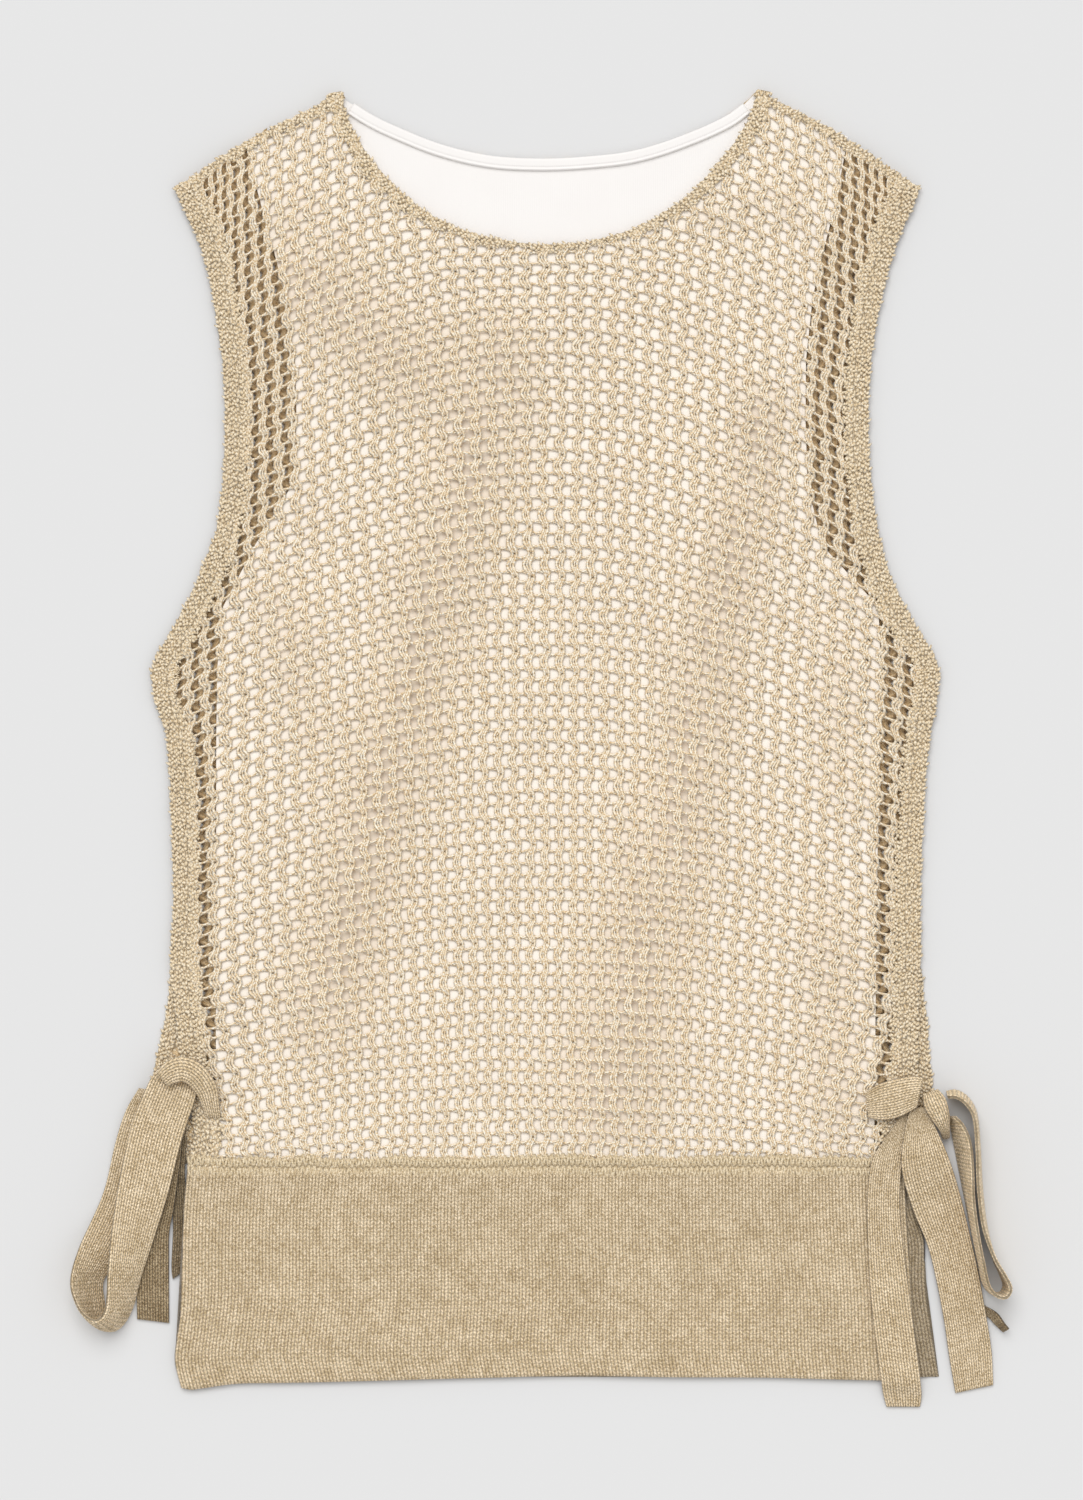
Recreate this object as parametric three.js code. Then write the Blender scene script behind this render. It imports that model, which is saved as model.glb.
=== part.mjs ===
// A sleeveless openwork knit top with a plain jersey lining, laid out flat with its front up.
// Each side is slit above the hem and closed with a bow of knitted tie.
//
// Millimetres. The neck is towards +Y, the floor is Z = 0 and +Z is up. Left is -X and right is +X,
// as the top is seen from above, so the wearer's left is on the right. All tables are measured from
// the centre front (X) and the hem (Y); at the end the model is moved so that its origin is the
// centre of its footprint.

import * as THREE from 'three';

// ---------------------------------------------------------------------------------------------
// Driving dimensions
// ---------------------------------------------------------------------------------------------

const BAND_HEIGHT = 110;      // knitted hem band
const SEAM_GAP = 0.3;         // between pieces that are sewn or lie together
const NET_WALL = 1.8;         // openwork knit, front and back
const LINING_WALL = 1.1;      // plain jersey
const BINDING_WALL = 1.1;     // folded jersey round the back of the neck
const BINDING_WIDTH = 6;
const TIE_WALL = 1.8;         // knitted tie, 24 mm wide where it lies flat
const CHEST_LEVEL = 545;      // below both necklines: the knit's courses run level up to here
const ROLL = 9;               // how far in from a side edge the front sinks on to the back
const LINING_NECK_INSET = 2.5;
const FOLD_FALLOFF = 1.4;     // how fast a fold dies out past its half width

// Layers, each resting on the one below with a seam gap between.
const BACK_LINING_Z = NET_WALL + SEAM_GAP;
const FRONT_LINING_Z = BACK_LINING_Z + LINING_WALL + SEAM_GAP;
const FRONT_EDGE_Z = NET_WALL + SEAM_GAP;
const FRONT_BODY_Z = FRONT_LINING_Z + LINING_WALL + SEAM_GAP;
const BINDING_Z = BACK_LINING_Z + LINING_WALL + SEAM_GAP;

// ---------------------------------------------------------------------------------------------
// Outlines: left and right edge at each height above the hem
// ---------------------------------------------------------------------------------------------

const BODICE_SIDES = [        // both panels above the slits: side seam, underarm point and armhole
  { y: 211.5, left: -188.3, right: 187.8 },
  { y: 249, left: -187.3, right: 187.5 },
  { y: 289, left: -188.3, right: 189.0 },
  { y: 324, left: -190.5, right: 192.0 },
  { y: 339, left: -194.3, right: 194.3 },
  { y: 348, left: -197.8, right: 196.8 },
  { y: 358, left: -198.3, right: 197.3 },
  { y: 369, left: -193.8, right: 192.8 },
  { y: 389, left: -182.3, right: 180.8 },
  { y: 409, left: -173.3, right: 171.8 },
  { y: 429, left: -165.8, right: 166.3 },
  { y: 449, left: -162.8, right: 163.3 },
  { y: 479, left: -161.3, right: 161.5 },
  { y: 509, left: -162.3, right: 162.3 },
  { y: 539, left: -166.3, right: 166.8 },
  { y: 569, left: -172.8, right: 174.3 },
  { y: 589, left: -181.8, right: 183.0 },
  { y: 601, left: -186.8, right: 187.3 },
];

const FRONT_NET_SIDES = [     // the front panel stays straight below the slit and tucks in at the bow
  { y: 110, left: -179.8, right: 179.3 },
  { y: 124, left: -176.8, right: 181.8 },
  { y: 139, left: -177.8, right: 184.8 },
  { y: 159, left: -182.5, right: 185.8 },
  { y: 185, left: -185.8, right: 186.1 },
  ...BODICE_SIDES,
];

const BACK_NET_SIDES = [      // the back panel flares out past the front below the slit
  { y: 110, left: -184.3, right: 185.8 },
  { y: 119, left: -188.3, right: 187.3 },
  { y: 134, left: -194.3, right: 190.8 },
  { y: 148, left: -198.8, right: 193.8 },
  { y: 157, left: -199.0, right: 193.8 },
  { y: 168, left: -194.6, right: 191.8 },
  { y: 189, left: -190.8, right: 190.5 },
  ...BODICE_SIDES,
];

const FRONT_BAND_SIDES = [
  { y: -2, left: -182.3, right: 185.3 },
  { y: 8, left: -185.9, right: 185.0 },
  { y: 19, left: -185.6, right: 184.0 },
  { y: 44, left: -182.8, right: 182.8 },
  { y: 83, left: -182.0, right: 180.3 },
  { y: 110, left: -179.8, right: 179.3 },
];

const BACK_BAND_SIDES = [
  { y: 4, left: -178.8, right: 196.8 },
  { y: 31, left: -178.3, right: 192.3 },
  { y: 50, left: -178.3, right: 189.5 },
  { y: 73, left: -178.3, right: 189.3 },
  { y: 89, left: -178.8, right: 184.3 },
  { y: 110, left: -178.8, right: 184.3 },
];

const LINING_SIDES = [
  { y: 113, left: -165.3, right: 163.8 },
  { y: 250, left: -165.3, right: 165.3 },
  { y: 374, left: -164.3, right: 167.3 },
  { y: 394, left: -160.8, right: 164.3 },
  { y: 414, left: -151.3, right: 141.8 },
  { y: 444, left: -129.3, right: 131.8 },
  { y: 474, left: -125.3, right: 129.8 },
  { y: 514, left: -125.8, right: 129.8 },
  { y: 549, left: -131.3, right: 133.8 },
  { y: 579, left: -139.3, right: 141.3 },
  { y: 609, left: -147.3, right: 147.8 },
  { y: 629, left: -151.8, right: 151.3 },
];

// Upper edges: height above the hem at each place across, with the neck and shoulder corners marked
// by the rows where a straight line meets a curve.
const SHOULDER_LEFT = [
  { x: -186.8, y: 601.0 },
  { x: -167.0, y: 612.5 },
  { x: -155.0, y: 622.0 },
  { x: -137.0, y: 631.0 },
  { x: -102.3, y: 648.5 },
];

const SHOULDER_RIGHT = [
  { x: 105.3, y: 649.5 },
  { x: 135.3, y: 634.0 },
  { x: 153.3, y: 625.5 },
  { x: 163.3, y: 615.5 },
  { x: 187.3, y: 601.0 },
];

const FRONT_NECK = [
  { x: -102.3, y: 648.5 },
  { x: -100.3, y: 639.0 },
  { x: -96.5, y: 629.0 },
  { x: -89.8, y: 618.5 },
  { x: -73.8, y: 599.0 },
  { x: -59.8, y: 588.5 },
  { x: -38.3, y: 578.5 },
  { x: -18.0, y: 573.8 },
  { x: 1.0, y: 572.3 },
  { x: 20.0, y: 573.8 },
  { x: 39.5, y: 578.5 },
  { x: 59.3, y: 588.5 },
  { x: 72.8, y: 599.0 },
  { x: 90.3, y: 618.5 },
  { x: 97.3, y: 629.0 },
  { x: 102.5, y: 639.0 },
  { x: 105.3, y: 649.5 },
];

const BACK_NECK = [           // the upper edge of the binding
  { x: -102.3, y: 646.5 },
  { x: -88.3, y: 637.5 },
  { x: -76.3, y: 631.5 },
  { x: -52.3, y: 622.0 },
  { x: -28.3, y: 616.5 },
  { x: -4.0, y: 615.0 },
  { x: 20.0, y: 616.0 },
  { x: 43.8, y: 619.0 },
  { x: 67.8, y: 626.5 },
  { x: 91.8, y: 637.5 },
  { x: 105.3, y: 648.5 },
];

const FRONT_HEM = [           // lower edge of the front band, a little wavy
  { x: -186, y: 0.5 },
  { x: -178, y: -1.2 },
  { x: -160, y: 1.5 },
  { x: -120, y: 2.4 },
  { x: -60, y: 4.0 },
  { x: -20, y: 5.0 },
  { x: 20, y: 6.0 },
  { x: 50, y: 5.2 },
  { x: 110, y: 4.8 },
  { x: 150, y: 3.8 },
  { x: 186, y: 3.2 },
];

// Long soft folds of the front panel: each is a ridge from one end to the other, with its half
// width at each end and its height over the lining.
const FRONT_FOLDS = [
  { x0: -22, y0: 520, x1: -112, y1: 190, reach0: 21, reach1: 22, height: 6.0 },
  { x0: 110, y0: 492, x1: 26, y1: 120, reach0: 11, reach1: 29, height: 6.0 },
  { x0: -122, y0: 556, x1: -62, y1: 505, reach0: 26, reach1: 26, height: 5.0 },
  { x0: -136, y0: 398, x1: -112, y1: 322, reach0: 15, reach1: 15, height: 3.0 },
  { x0: 146, y0: 392, x1: 152, y1: 298, reach0: 11, reach1: 13, height: 3.0 },
  { x0: 140, y0: 232, x1: 146, y1: 122, reach0: 16, reach1: 20, height: 3.5 },
  { x0: -140, y0: 592, x1: -110, y1: 587, reach0: 8, reach1: 8, height: 2.5 },
  { x0: 79, y0: 586, x1: 128, y1: 594, reach0: 8, reach1: 8, height: 2.5 },
];

// ---------------------------------------------------------------------------------------------
// Ties: one row for each place along a stretch of tie. x, y, z is the middle of the tie; its
// width points along the bearing (degrees from +X) and rises by the lean (90 stands on edge);
// the crown bows the middle of the width out.
// ---------------------------------------------------------------------------------------------

const TIES = {
  right_tie_root: {
    colour: 0xc9b48c, wall: 2.2, steps: 10,
    rows: [
      { x: 160.3, y: 142.0, z: 9.7, bearing: 96, lean: 0, width: 13, crown: 0.6 },
      { x: 166.8, y: 143.5, z: 11.4, bearing: 93, lean: 0, width: 18, crown: 1.6 },
      { x: 174.8, y: 145.3, z: 12.8, bearing: 85, lean: 0, width: 20, crown: 2.2 },
      { x: 181.8, y: 147.3, z: 14.2, bearing: 80, lean: 0, width: 18.5, crown: 2.2 },
      { x: 186.3, y: 148.4, z: 14.8, bearing: 78, lean: 0, width: 15, crown: 1.8 },
    ],
  },
  right_knot: {
    colour: 0xc4b08a, wall: 2.4, steps: 12,
    rows: [
      { x: 191.4, y: 148.6, z: 14.3, bearing: 20, lean: 0, width: 8.2, crown: 1 },
      { x: 193.6, y: 143.4, z: 15.1, bearing: 20, lean: 0, width: 11.6, crown: 2.2 },
      { x: 196.2, y: 136.8, z: 14.4, bearing: 18, lean: -8, width: 9.8, crown: 2.2 },
      { x: 198.6, y: 130.2, z: 10.4, bearing: 16, lean: -10, width: 5.6, crown: 1.4 },
      { x: 199.8, y: 125.6, z: 5.8, bearing: 12, lean: 0, width: 4, crown: 0.5 },
    ],
  },
  right_front_tail: {
    colour: 0xcdb992, wall: TIE_WALL, steps: 22,
    rows: [
      { x: 181.0, y: 139.0, z: 8.4, bearing: 25, lean: 0, width: 8, crown: 0.5 },
      { x: 176.5, y: 129.5, z: 8.4, bearing: 24, lean: 0, width: 13, crown: 0.6 },
      { x: 170.8, y: 116.5, z: 8.5, bearing: 12, lean: 0, width: 16, crown: 0.8 },
      { x: 168.6, y: 99.0, z: 8.3, bearing: 2, lean: 0, width: 16, crown: 0.6 },
      { x: 168.9, y: 79.0, z: 7.7, bearing: -2, lean: 0, width: 17, crown: 0.5 },
      { x: 172.0, y: 45.0, z: 6.8, bearing: -8, lean: 0, width: 20, crown: 0.4 },
      { x: 175.6, y: 16.0, z: 6.0, bearing: -8, lean: 0, width: 20.5, crown: 0.3 },
      { x: 177.3, y: 3.5, z: 5.6, bearing: -6, lean: 0, width: 20, crown: 0.2 },
      { x: 178.2, y: -3.5, z: 2.6, bearing: -4, lean: 0, width: 19.5, crown: 0.1 },
      { x: 178.8, y: -9.8, z: 1.0, bearing: 0, lean: 0, width: 17, crown: 0 },
    ],
  },
  right_side_tail: {
    colour: 0xc8b48e, wall: TIE_WALL, steps: 22,
    rows: [
      { x: 185.4, y: 140.5, z: 11.3, bearing: 8, lean: 0, width: 8, crown: 0.4 },
      { x: 186.4, y: 129.8, z: 11.3, bearing: 10, lean: 0, width: 15.4, crown: 0.6 },
      { x: 188.8, y: 113.6, z: 11.4, bearing: 15, lean: 0, width: 24, crown: 0.8 },
      { x: 194.6, y: 94.5, z: 6.6, bearing: 20, lean: 0, width: 25, crown: 0.5 },
      { x: 201.3, y: 74.0, z: 4.0, bearing: 18, lean: 0, width: 22, crown: 0.3 },
      { x: 205.8, y: 55.0, z: 3.4, bearing: 14, lean: 0, width: 21.5, crown: 0.3 },
      { x: 209.5, y: 35.0, z: 3.4, bearing: 10, lean: 0, width: 21.3, crown: 0.3 },
      { x: 212.3, y: 17.0, z: 2.0, bearing: 8, lean: 0, width: 21.5, crown: 0.3 },
      { x: 214.4, y: -1.0, z: 1.0, bearing: 12, lean: 0, width: 19.5, crown: 0 },
    ],
  },
  right_back_tail: {          // runs under the side tail and shows only at its tip
    colour: 0xb9a47c, wall: TIE_WALL, steps: 18,
    rows: [
      { x: 190.8, y: 124.0, z: 4.6, bearing: 12, lean: 0, width: 9, crown: 0 },
      { x: 194.3, y: 108.0, z: 3.4, bearing: 18, lean: 0, width: 12, crown: 0 },
      { x: 199.3, y: 88.0, z: 2.2, bearing: 18, lean: 0, width: 10, crown: 0 },
      { x: 204.3, y: 66.0, z: 0.9, bearing: 18, lean: 0, width: 10, crown: 0 },
      { x: 210.3, y: 46.0, z: 0.9, bearing: 30, lean: 0, width: 7, crown: 0 },
      { x: 217.6, y: 39.6, z: 0.9, bearing: 52, lean: 0, width: 4.5, crown: 0 },
      { x: 223.4, y: 36.2, z: 2.5, bearing: 50, lean: 34, width: 5.2, crown: 0 },
      { x: 226.6, y: 32.6, z: 4.6, bearing: 50, lean: 62, width: 8, crown: 0 },
      { x: 230.1, y: 28.8, z: 5.2, bearing: 52, lean: 72, width: 8.6, crown: 0 },
    ],
  },
  right_loop: {               // a loop of tie standing on its edge
    colour: 0xc2ae86, wall: TIE_WALL, steps: 40,
    rows: [
      { x: 200.2, y: 146.8, z: 8.0, bearing: 80, lean: 97, width: 12, crown: 0 },
      { x: 205.0, y: 147.0, z: 9.0, bearing: 60, lean: 98, width: 16, crown: 0 },
      { x: 210.2, y: 143.4, z: 10.4, bearing: 30, lean: 98, width: 19, crown: 0 },
      { x: 213.9, y: 136.2, z: 11.2, bearing: 0, lean: 97, width: 21, crown: 0 },
      { x: 215.4, y: 121.0, z: 11.4, bearing: 0, lean: 97, width: 22, crown: 0 },
      { x: 216.3, y: 101.0, z: 11.4, bearing: 0, lean: 98, width: 22, crown: 0 },
      { x: 218.6, y: 82.0, z: 11.2, bearing: 0, lean: 97, width: 22, crown: 0 },
      { x: 223.2, y: 66.5, z: 11.0, bearing: 0, lean: 92, width: 21, crown: 0 },
      { x: 227.9, y: 57.0, z: 10.4, bearing: 0, lean: 87, width: 20, crown: 0 },
      { x: 230.2, y: 51.0, z: 10.2, bearing: 0, lean: 85, width: 19.5, crown: 0 },
      { x: 228.0, y: 46.8, z: 10.0, bearing: 0, lean: 85, width: 19, crown: 0 },
      { x: 223.3, y: 47.6, z: 10.0, bearing: 0, lean: 85, width: 19, crown: 0 },
      { x: 219.4, y: 52.5, z: 10.2, bearing: 0, lean: 86, width: 19.5, crown: 0 },
      { x: 217.0, y: 63.0, z: 10.6, bearing: 0, lean: 87, width: 20.5, crown: 0 },
      { x: 214.0, y: 78.0, z: 11.2, bearing: 0, lean: 87, width: 21.5, crown: 0 },
      { x: 211.2, y: 95.0, z: 11.2, bearing: 0, lean: 84, width: 22, crown: 0 },
      { x: 209.2, y: 112.0, z: 11.0, bearing: 0, lean: 76, width: 22, crown: 0 },
      { x: 207.4, y: 124.0, z: 10.6, bearing: 0, lean: 72, width: 21, crown: 0 },
      { x: 205.2, y: 131.5, z: 9.8, bearing: 8, lean: 74, width: 17, crown: 0 },
      { x: 202.3, y: 135.8, z: 8.6, bearing: 20, lean: 78, width: 12, crown: 0 },
    ],
  },
  left_knot: {                // the front tie rises from the panel's corner and turns over the bow
    colour: 0xcbb78f, wall: 2.2, steps: 14,
    rows: [
      { x: -167.8, y: 142.5, z: 9.6, bearing: 0, lean: 0, width: 9, crown: 0.8 },
      { x: -169.8, y: 150.0, z: 12.0, bearing: 22, lean: 0, width: 11, crown: 1.6 },
      { x: -174.8, y: 157.0, z: 14.2, bearing: 52, lean: 0, width: 12, crown: 2 },
      { x: -181.0, y: 160.0, z: 15.2, bearing: 88, lean: 0, width: 12.5, crown: 2 },
      { x: -187.0, y: 158.5, z: 14.8, bearing: 112, lean: 0, width: 11.5, crown: 1.6 },
      { x: -191.3, y: 155.0, z: 13.8, bearing: 134, lean: 0, width: 9, crown: 0.8 },
    ],
  },
  left_loop: {                // out along the floor, round on its edge and back on top
    colour: 0xc3ae86, wall: TIE_WALL, steps: 44,
    rows: [
      { x: -198.0, y: 149.0, z: 4.6, bearing: 172, lean: 0, width: 12, crown: 0 },
      { x: -200.8, y: 136.0, z: 4.2, bearing: 166, lean: 0, width: 20, crown: 0 },
      { x: -205.3, y: 119.0, z: 3.1, bearing: 160, lean: 0, width: 22, crown: 0 },
      { x: -211.0, y: 95.5, z: 1.0, bearing: 158, lean: 0, width: 22, crown: 0 },
      { x: -217.0, y: 80.0, z: 2.4, bearing: 158, lean: 8, width: 22.5, crown: 0 },
      { x: -224.0, y: 66.5, z: 6.6, bearing: 160, lean: 28, width: 22.5, crown: 0 },
      { x: -229.2, y: 54.0, z: 10.0, bearing: 178, lean: 48, width: 22.5, crown: -1.2 },
      { x: -227.6, y: 43.5, z: 11.2, bearing: 176, lean: 57, width: 22.5, crown: -2.2 },
      { x: -224.5, y: 35.5, z: 11.8, bearing: 154, lean: 64, width: 22.5, crown: -2.6 },
      { x: -219.0, y: 32.5, z: 11.8, bearing: 138, lean: 63, width: 22.5, crown: -2.2 },
      { x: -213.4, y: 40.3, z: 11.6, bearing: 166, lean: 59, width: 22.5, crown: -1.4 },
      { x: -210.3, y: 58.0, z: 11.4, bearing: 172, lean: 46, width: 22.5, crown: -0.6 },
      { x: -206.0, y: 79.5, z: 9.8, bearing: 160, lean: 25, width: 23.5, crown: 0 },
      { x: -200.3, y: 104.0, z: 9.0, bearing: 159, lean: 5, width: 25.5, crown: 0 },
      { x: -194.5, y: 128.0, z: 9.0, bearing: 162, lean: 0, width: 26, crown: 0 },
      { x: -187.8, y: 146.5, z: 9.6, bearing: 160, lean: 0, width: 25, crown: 0.4 },
      { x: -185.6, y: 152.3, z: 9.2, bearing: 159, lean: 0, width: 23.5, crown: 0.6 },
      { x: -184.6, y: 155.3, z: 7.2, bearing: 158, lean: 0, width: 21, crown: 0.6 },
    ],
  },
  left_outer_tail: {
    colour: 0xbea980, wall: TIE_WALL, steps: 16,
    rows: [
      { x: -185.6, y: 134.0, z: 6.6, bearing: -12, lean: 0, width: 7.5, crown: 0 },
      { x: -187.2, y: 120.0, z: 6.2, bearing: -14, lean: 0, width: 9.5, crown: 0 },
      { x: -190.2, y: 104.0, z: 4.8, bearing: -16, lean: 0, width: 11.5, crown: 0 },
      { x: -193.6, y: 90.0, z: 3.4, bearing: -13, lean: 0, width: 14.2, crown: 0 },
      { x: -196.3, y: 78.0, z: 2.2, bearing: -8, lean: 0, width: 15.2, crown: 0 },
      { x: -197.3, y: 62.0, z: 0.9, bearing: -2, lean: 0, width: 16.5, crown: 0 },
      { x: -197.0, y: 33.0, z: 0.9, bearing: -7, lean: 0, width: 16.2, crown: 0 },
    ],
  },
  left_inner_tail: {          // lies beside the back band, half under the edge of the front band
    colour: 0xb29c74, wall: TIE_WALL, steps: 14,
    rows: [
      { x: -184.3, y: 126.0, z: 3.3, bearing: -4, lean: 0, width: 7, crown: 0 },
      { x: -185.2, y: 109.0, z: 3.2, bearing: -2, lean: 0, width: 6.6, crown: 0 },
      { x: -185.3, y: 100.0, z: 0.9, bearing: 0, lean: 0, width: 6.8, crown: 0 },
      { x: -183.7, y: 80.0, z: 0.9, bearing: 3, lean: 0, width: 7.4, crown: 0 },
      { x: -184.3, y: 62.0, z: 0.9, bearing: 18, lean: 0, width: 7.4, crown: 0 },
      { x: -185.0, y: 55.5, z: 0.9, bearing: 36, lean: 0, width: 5.5, crown: 0 },
    ],
  },
};

// ---------------------------------------------------------------------------------------------
// Curves through the tables
// ---------------------------------------------------------------------------------------------

/** Slope of a column at a row, from the rows on either side of it. */
function slopeAt(rows, index, key, column) {
  const before = rows[Math.max(index - 1, 0)];
  const after = rows[Math.min(index + 1, rows.length - 1)];
  return (after[column] - before[column]) / (after[key] - before[key]);
}

/** A column read off the smooth curve through its rows, whose key column rises. */
function readTable(rows, key, column, place) {
  const last = rows.length - 1;
  if (place <= rows[0][key]) return rows[0][column];
  if (place >= rows[last][key]) return rows[last][column];
  const upper = rows.findIndex((row) => row[key] > place);
  const from = rows[upper - 1];
  const to = rows[upper];
  const span = to[key] - from[key];
  const t = (place - from[key]) / span;
  const rise = slopeAt(rows, upper - 1, key, column) * span;
  const fall = slopeAt(rows, upper, key, column) * span;
  return from[column] * (1 + 2 * t) * (1 - t) ** 2 + rise * t * (1 - t) ** 2
    + to[column] * t * t * (3 - 2 * t) + fall * t * t * (t - 1);
}

/** 0 below the start, 1 past the end, and an even S between. */
function ease(value, start, end) {
  return THREE.MathUtils.smoothstep(value, start, end);
}

// ---------------------------------------------------------------------------------------------
// Closed walls
// ---------------------------------------------------------------------------------------------

const MEET_PASSES = 40;       // halvings that bring a column's end on to an edge
const LOWEST = new THREE.Vector3(-Infinity, -Infinity, 0);      // nothing sinks into the floor

/** Turns a lattice of rings, each a closed loop of points, into one closed body. */
function closedBody(rings, capRows) {
  const ringSize = rings[0].length;
  const positions = rings.flat(2);
  const index = [];
  const quad = (a, b, c, d) => index.push(a, b, c, a, c, d);
  for (let ring = 0; ring < rings.length - 1; ring += 1) {
    for (let side = 0; side < ringSize; side += 1) {
      const next = (side + 1) % ringSize;
      const here = ring * ringSize;
      const there = here + ringSize;
      quad(here + side, here + next, there + next, there + side);
    }
  }
  const lastRing = (rings.length - 1) * ringSize;
  for (let step = 0; step < capRows; step += 1) {
    const low = step;
    const high = ringSize - 1 - step;
    quad(low, high, high - 1, low + 1);
    quad(lastRing + low, lastRing + low + 1, lastRing + high - 1, lastRing + high);
  }
  const geometry = new THREE.BufferGeometry();
  geometry.setAttribute('position', new THREE.Float32BufferAttribute(positions, 3));
  geometry.setIndex(facingOut(positions, index));
  geometry.computeVertexNormals();
  return geometry;
}

/** The same triangles, turned over if their body would be inside out. */
function facingOut(positions, index) {
  const corner = (k) => new THREE.Vector3().fromArray(positions, 3 * index[k]);
  let volume = 0;
  for (let k = 0; k < index.length; k += 3) {
    volume += corner(k).dot(corner(k + 1).cross(corner(k + 2)));
  }
  if (volume > 0) return index;
  const turned = index.slice();
  for (let k = 0; k < index.length; k += 3) {
    turned[k + 1] = index[k + 2];
    turned[k + 2] = index[k + 1];
  }
  return turned;
}

/**
 * A panel of cloth. Its columns run from its lower edge up to a level line and on to its upper
 * edge, squeezed between its side edges; `rows` counts the rows below and above the level line,
 * and `under` gives the height of its underside at any place.
 */
function panel({ sides, lower, level, upper, corners, columns, rows, under, wall }) {
  const spread = (share, y) => THREE.MathUtils.lerp(
    readTable(sides, 'y', 'left', y),
    readTable(sides, 'y', 'right', y),
    share,
  );
  const meet = (share, edge) => {           // height at which a column reaches an edge
    let y = edge(0);
    for (let pass = 0; pass < MEET_PASSES; pass += 1) y = (y + edge(spread(share, y))) / 2;
    return y;
  };
  const shares = columnShares(sides, corners, columns);
  const stacks = shares.map((share) => {
    const heights = [meet(share, lower), level, meet(share, upper)];
    const stack = [];
    rows.forEach((count, tier) => {
      for (let row = tier === 0 ? 0 : 1; row <= count; row += 1) {
        const y = THREE.MathUtils.lerp(heights[tier], heights[tier + 1], row / count);
        stack.push({ x: spread(share, y), y });
      }
    });
    return stack;
  });
  const rings = stacks.map((stack) => {
    const face = stack.map(({ x, y }) => [x, y, under(x, y)]);
    const back = face.map(([x, y, z]) => [x, y, z + wall]).reverse();
    return [...face, ...back];
  });
  return closedBody(rings, rings[0].length / 2 - 1);
}

/**
 * Shares of the width at which columns stand: each bay between two stops has its own count. The
 * stops are the side edges, the ends of their rolls and the corners of the upper edge.
 */
function columnShares(sides, corners, columns) {
  const widthAt = (y) => readTable(sides, 'y', 'right', y) - readTable(sides, 'y', 'left', y);
  const narrowest = Math.min(...sides.map(({ left, right }) => right - left));
  const roll = ROLL / narrowest;
  const inner = corners.map(({ x, y }) => (x - readTable(sides, 'y', 'left', y)) / widthAt(y));
  const stops = [0, roll, ...inner, 1 - roll, 1];
  const neckBay = corners.length > 0 ? 2 : -1;
  const shares = [0];
  columns.forEach((count, bay) => {
    for (let step = 1; step <= count; step += 1) {
      const even = step / count;
      const crowded = (1 - Math.cos(Math.PI * even)) / 2;      // where the neckline is steep
      const part = bay === neckBay ? crowded : even;
      shares.push(THREE.MathUtils.lerp(stops[bay], stops[bay + 1], part));
    }
  });
  return shares;
}

/** A stretch of tie, swept along its rows with a crowned rectangular section. */
function ribbon({ rows, steps, wall }) {
  const keyed = rows.map((row, place) => ({ ...row, place }));
  const stations = Array.from({ length: steps + 1 }, (_, step) => {
    const place = (step / steps) * (rows.length - 1);
    const read = (column) => readTable(keyed, 'place', column, place);
    const bearing = THREE.MathUtils.degToRad(read('bearing'));
    const lean = THREE.MathUtils.degToRad(read('lean'));
    return {
      middle: new THREE.Vector3(read('x'), read('y'), read('z')),
      across: new THREE.Vector3(
        Math.cos(bearing) * Math.cos(lean),
        Math.sin(bearing) * Math.cos(lean),
        Math.sin(lean),
      ),
      width: read('width'),
      crown: read('crown'),
    };
  });
  const start = stations[1].middle.clone().sub(stations[0].middle).cross(stations[0].across);
  const upward = Math.sign(start.z) || 1;   // the crown of a tie that lies flat is on top
  const rings = stations.map((station, step) => {
    const ahead = stations[Math.min(step + 1, steps)].middle;
    const behind = stations[Math.max(step - 1, 0)].middle;
    const outward = ahead.clone().sub(behind).cross(station.across).normalize();
    const point = (side, face) => station.middle.clone()
      .addScaledVector(station.across, side * station.width / 2)
      .addScaledVector(outward, face * wall / 2 + upward * station.crown * (1 - side * side))
      .max(LOWEST)
      .toArray();
    return [point(-1, -1), point(0, -1), point(1, -1), point(1, 1), point(0, 1), point(-1, 1)];
  });
  return closedBody(rings, 2);
}

/** A narrow strip that follows an edge inside it, such as a binding. */
function edgeStrip({ edge, from, to, width, steps, base, wall }) {
  const rings = Array.from({ length: steps + 1 }, (_, step) => {
    const x = THREE.MathUtils.lerp(from, to, step / steps);
    const outer = new THREE.Vector2(x, readTable(edge, 'x', 'y', x));
    const near = new THREE.Vector2(x + 1, readTable(edge, 'x', 'y', x + 1));
    const along = near.sub(outer).normalize();
    const inner = outer.clone().add(new THREE.Vector2(along.y, -along.x).multiplyScalar(width));
    return [
      [inner.x, inner.y, base],
      [outer.x, outer.y, base],
      [outer.x, outer.y, base + wall],
      [inner.x, inner.y, base + wall],
    ];
  });
  return closedBody(rings, 1);
}

// ---------------------------------------------------------------------------------------------
// Lie of the front
// ---------------------------------------------------------------------------------------------

/** Height that one long fold adds at a place. */
function foldHeight({ x0, y0, x1, y1, reach0, reach1, height }, x, y) {
  const run = new THREE.Vector2(x1 - x0, y1 - y0);
  const from = new THREE.Vector2(x - x0, y - y0);
  const share = THREE.MathUtils.clamp(from.dot(run) / run.lengthSq(), 0, 1);
  const away = from.addScaledVector(run, -share).length();
  const reach = THREE.MathUtils.lerp(reach0, reach1, share);
  return height * Math.exp(-FOLD_FALLOFF * (away / reach) ** 2);
}

/** How far a place lies in from the nearer side edge, from 0 at the edge to 1 past the roll. */
function insideRoll(sides, x, y) {
  const inset = Math.min(
    x - readTable(sides, 'y', 'left', y),
    readTable(sides, 'y', 'right', y) - x,
  );
  return ease(inset, 0, ROLL);
}

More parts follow.
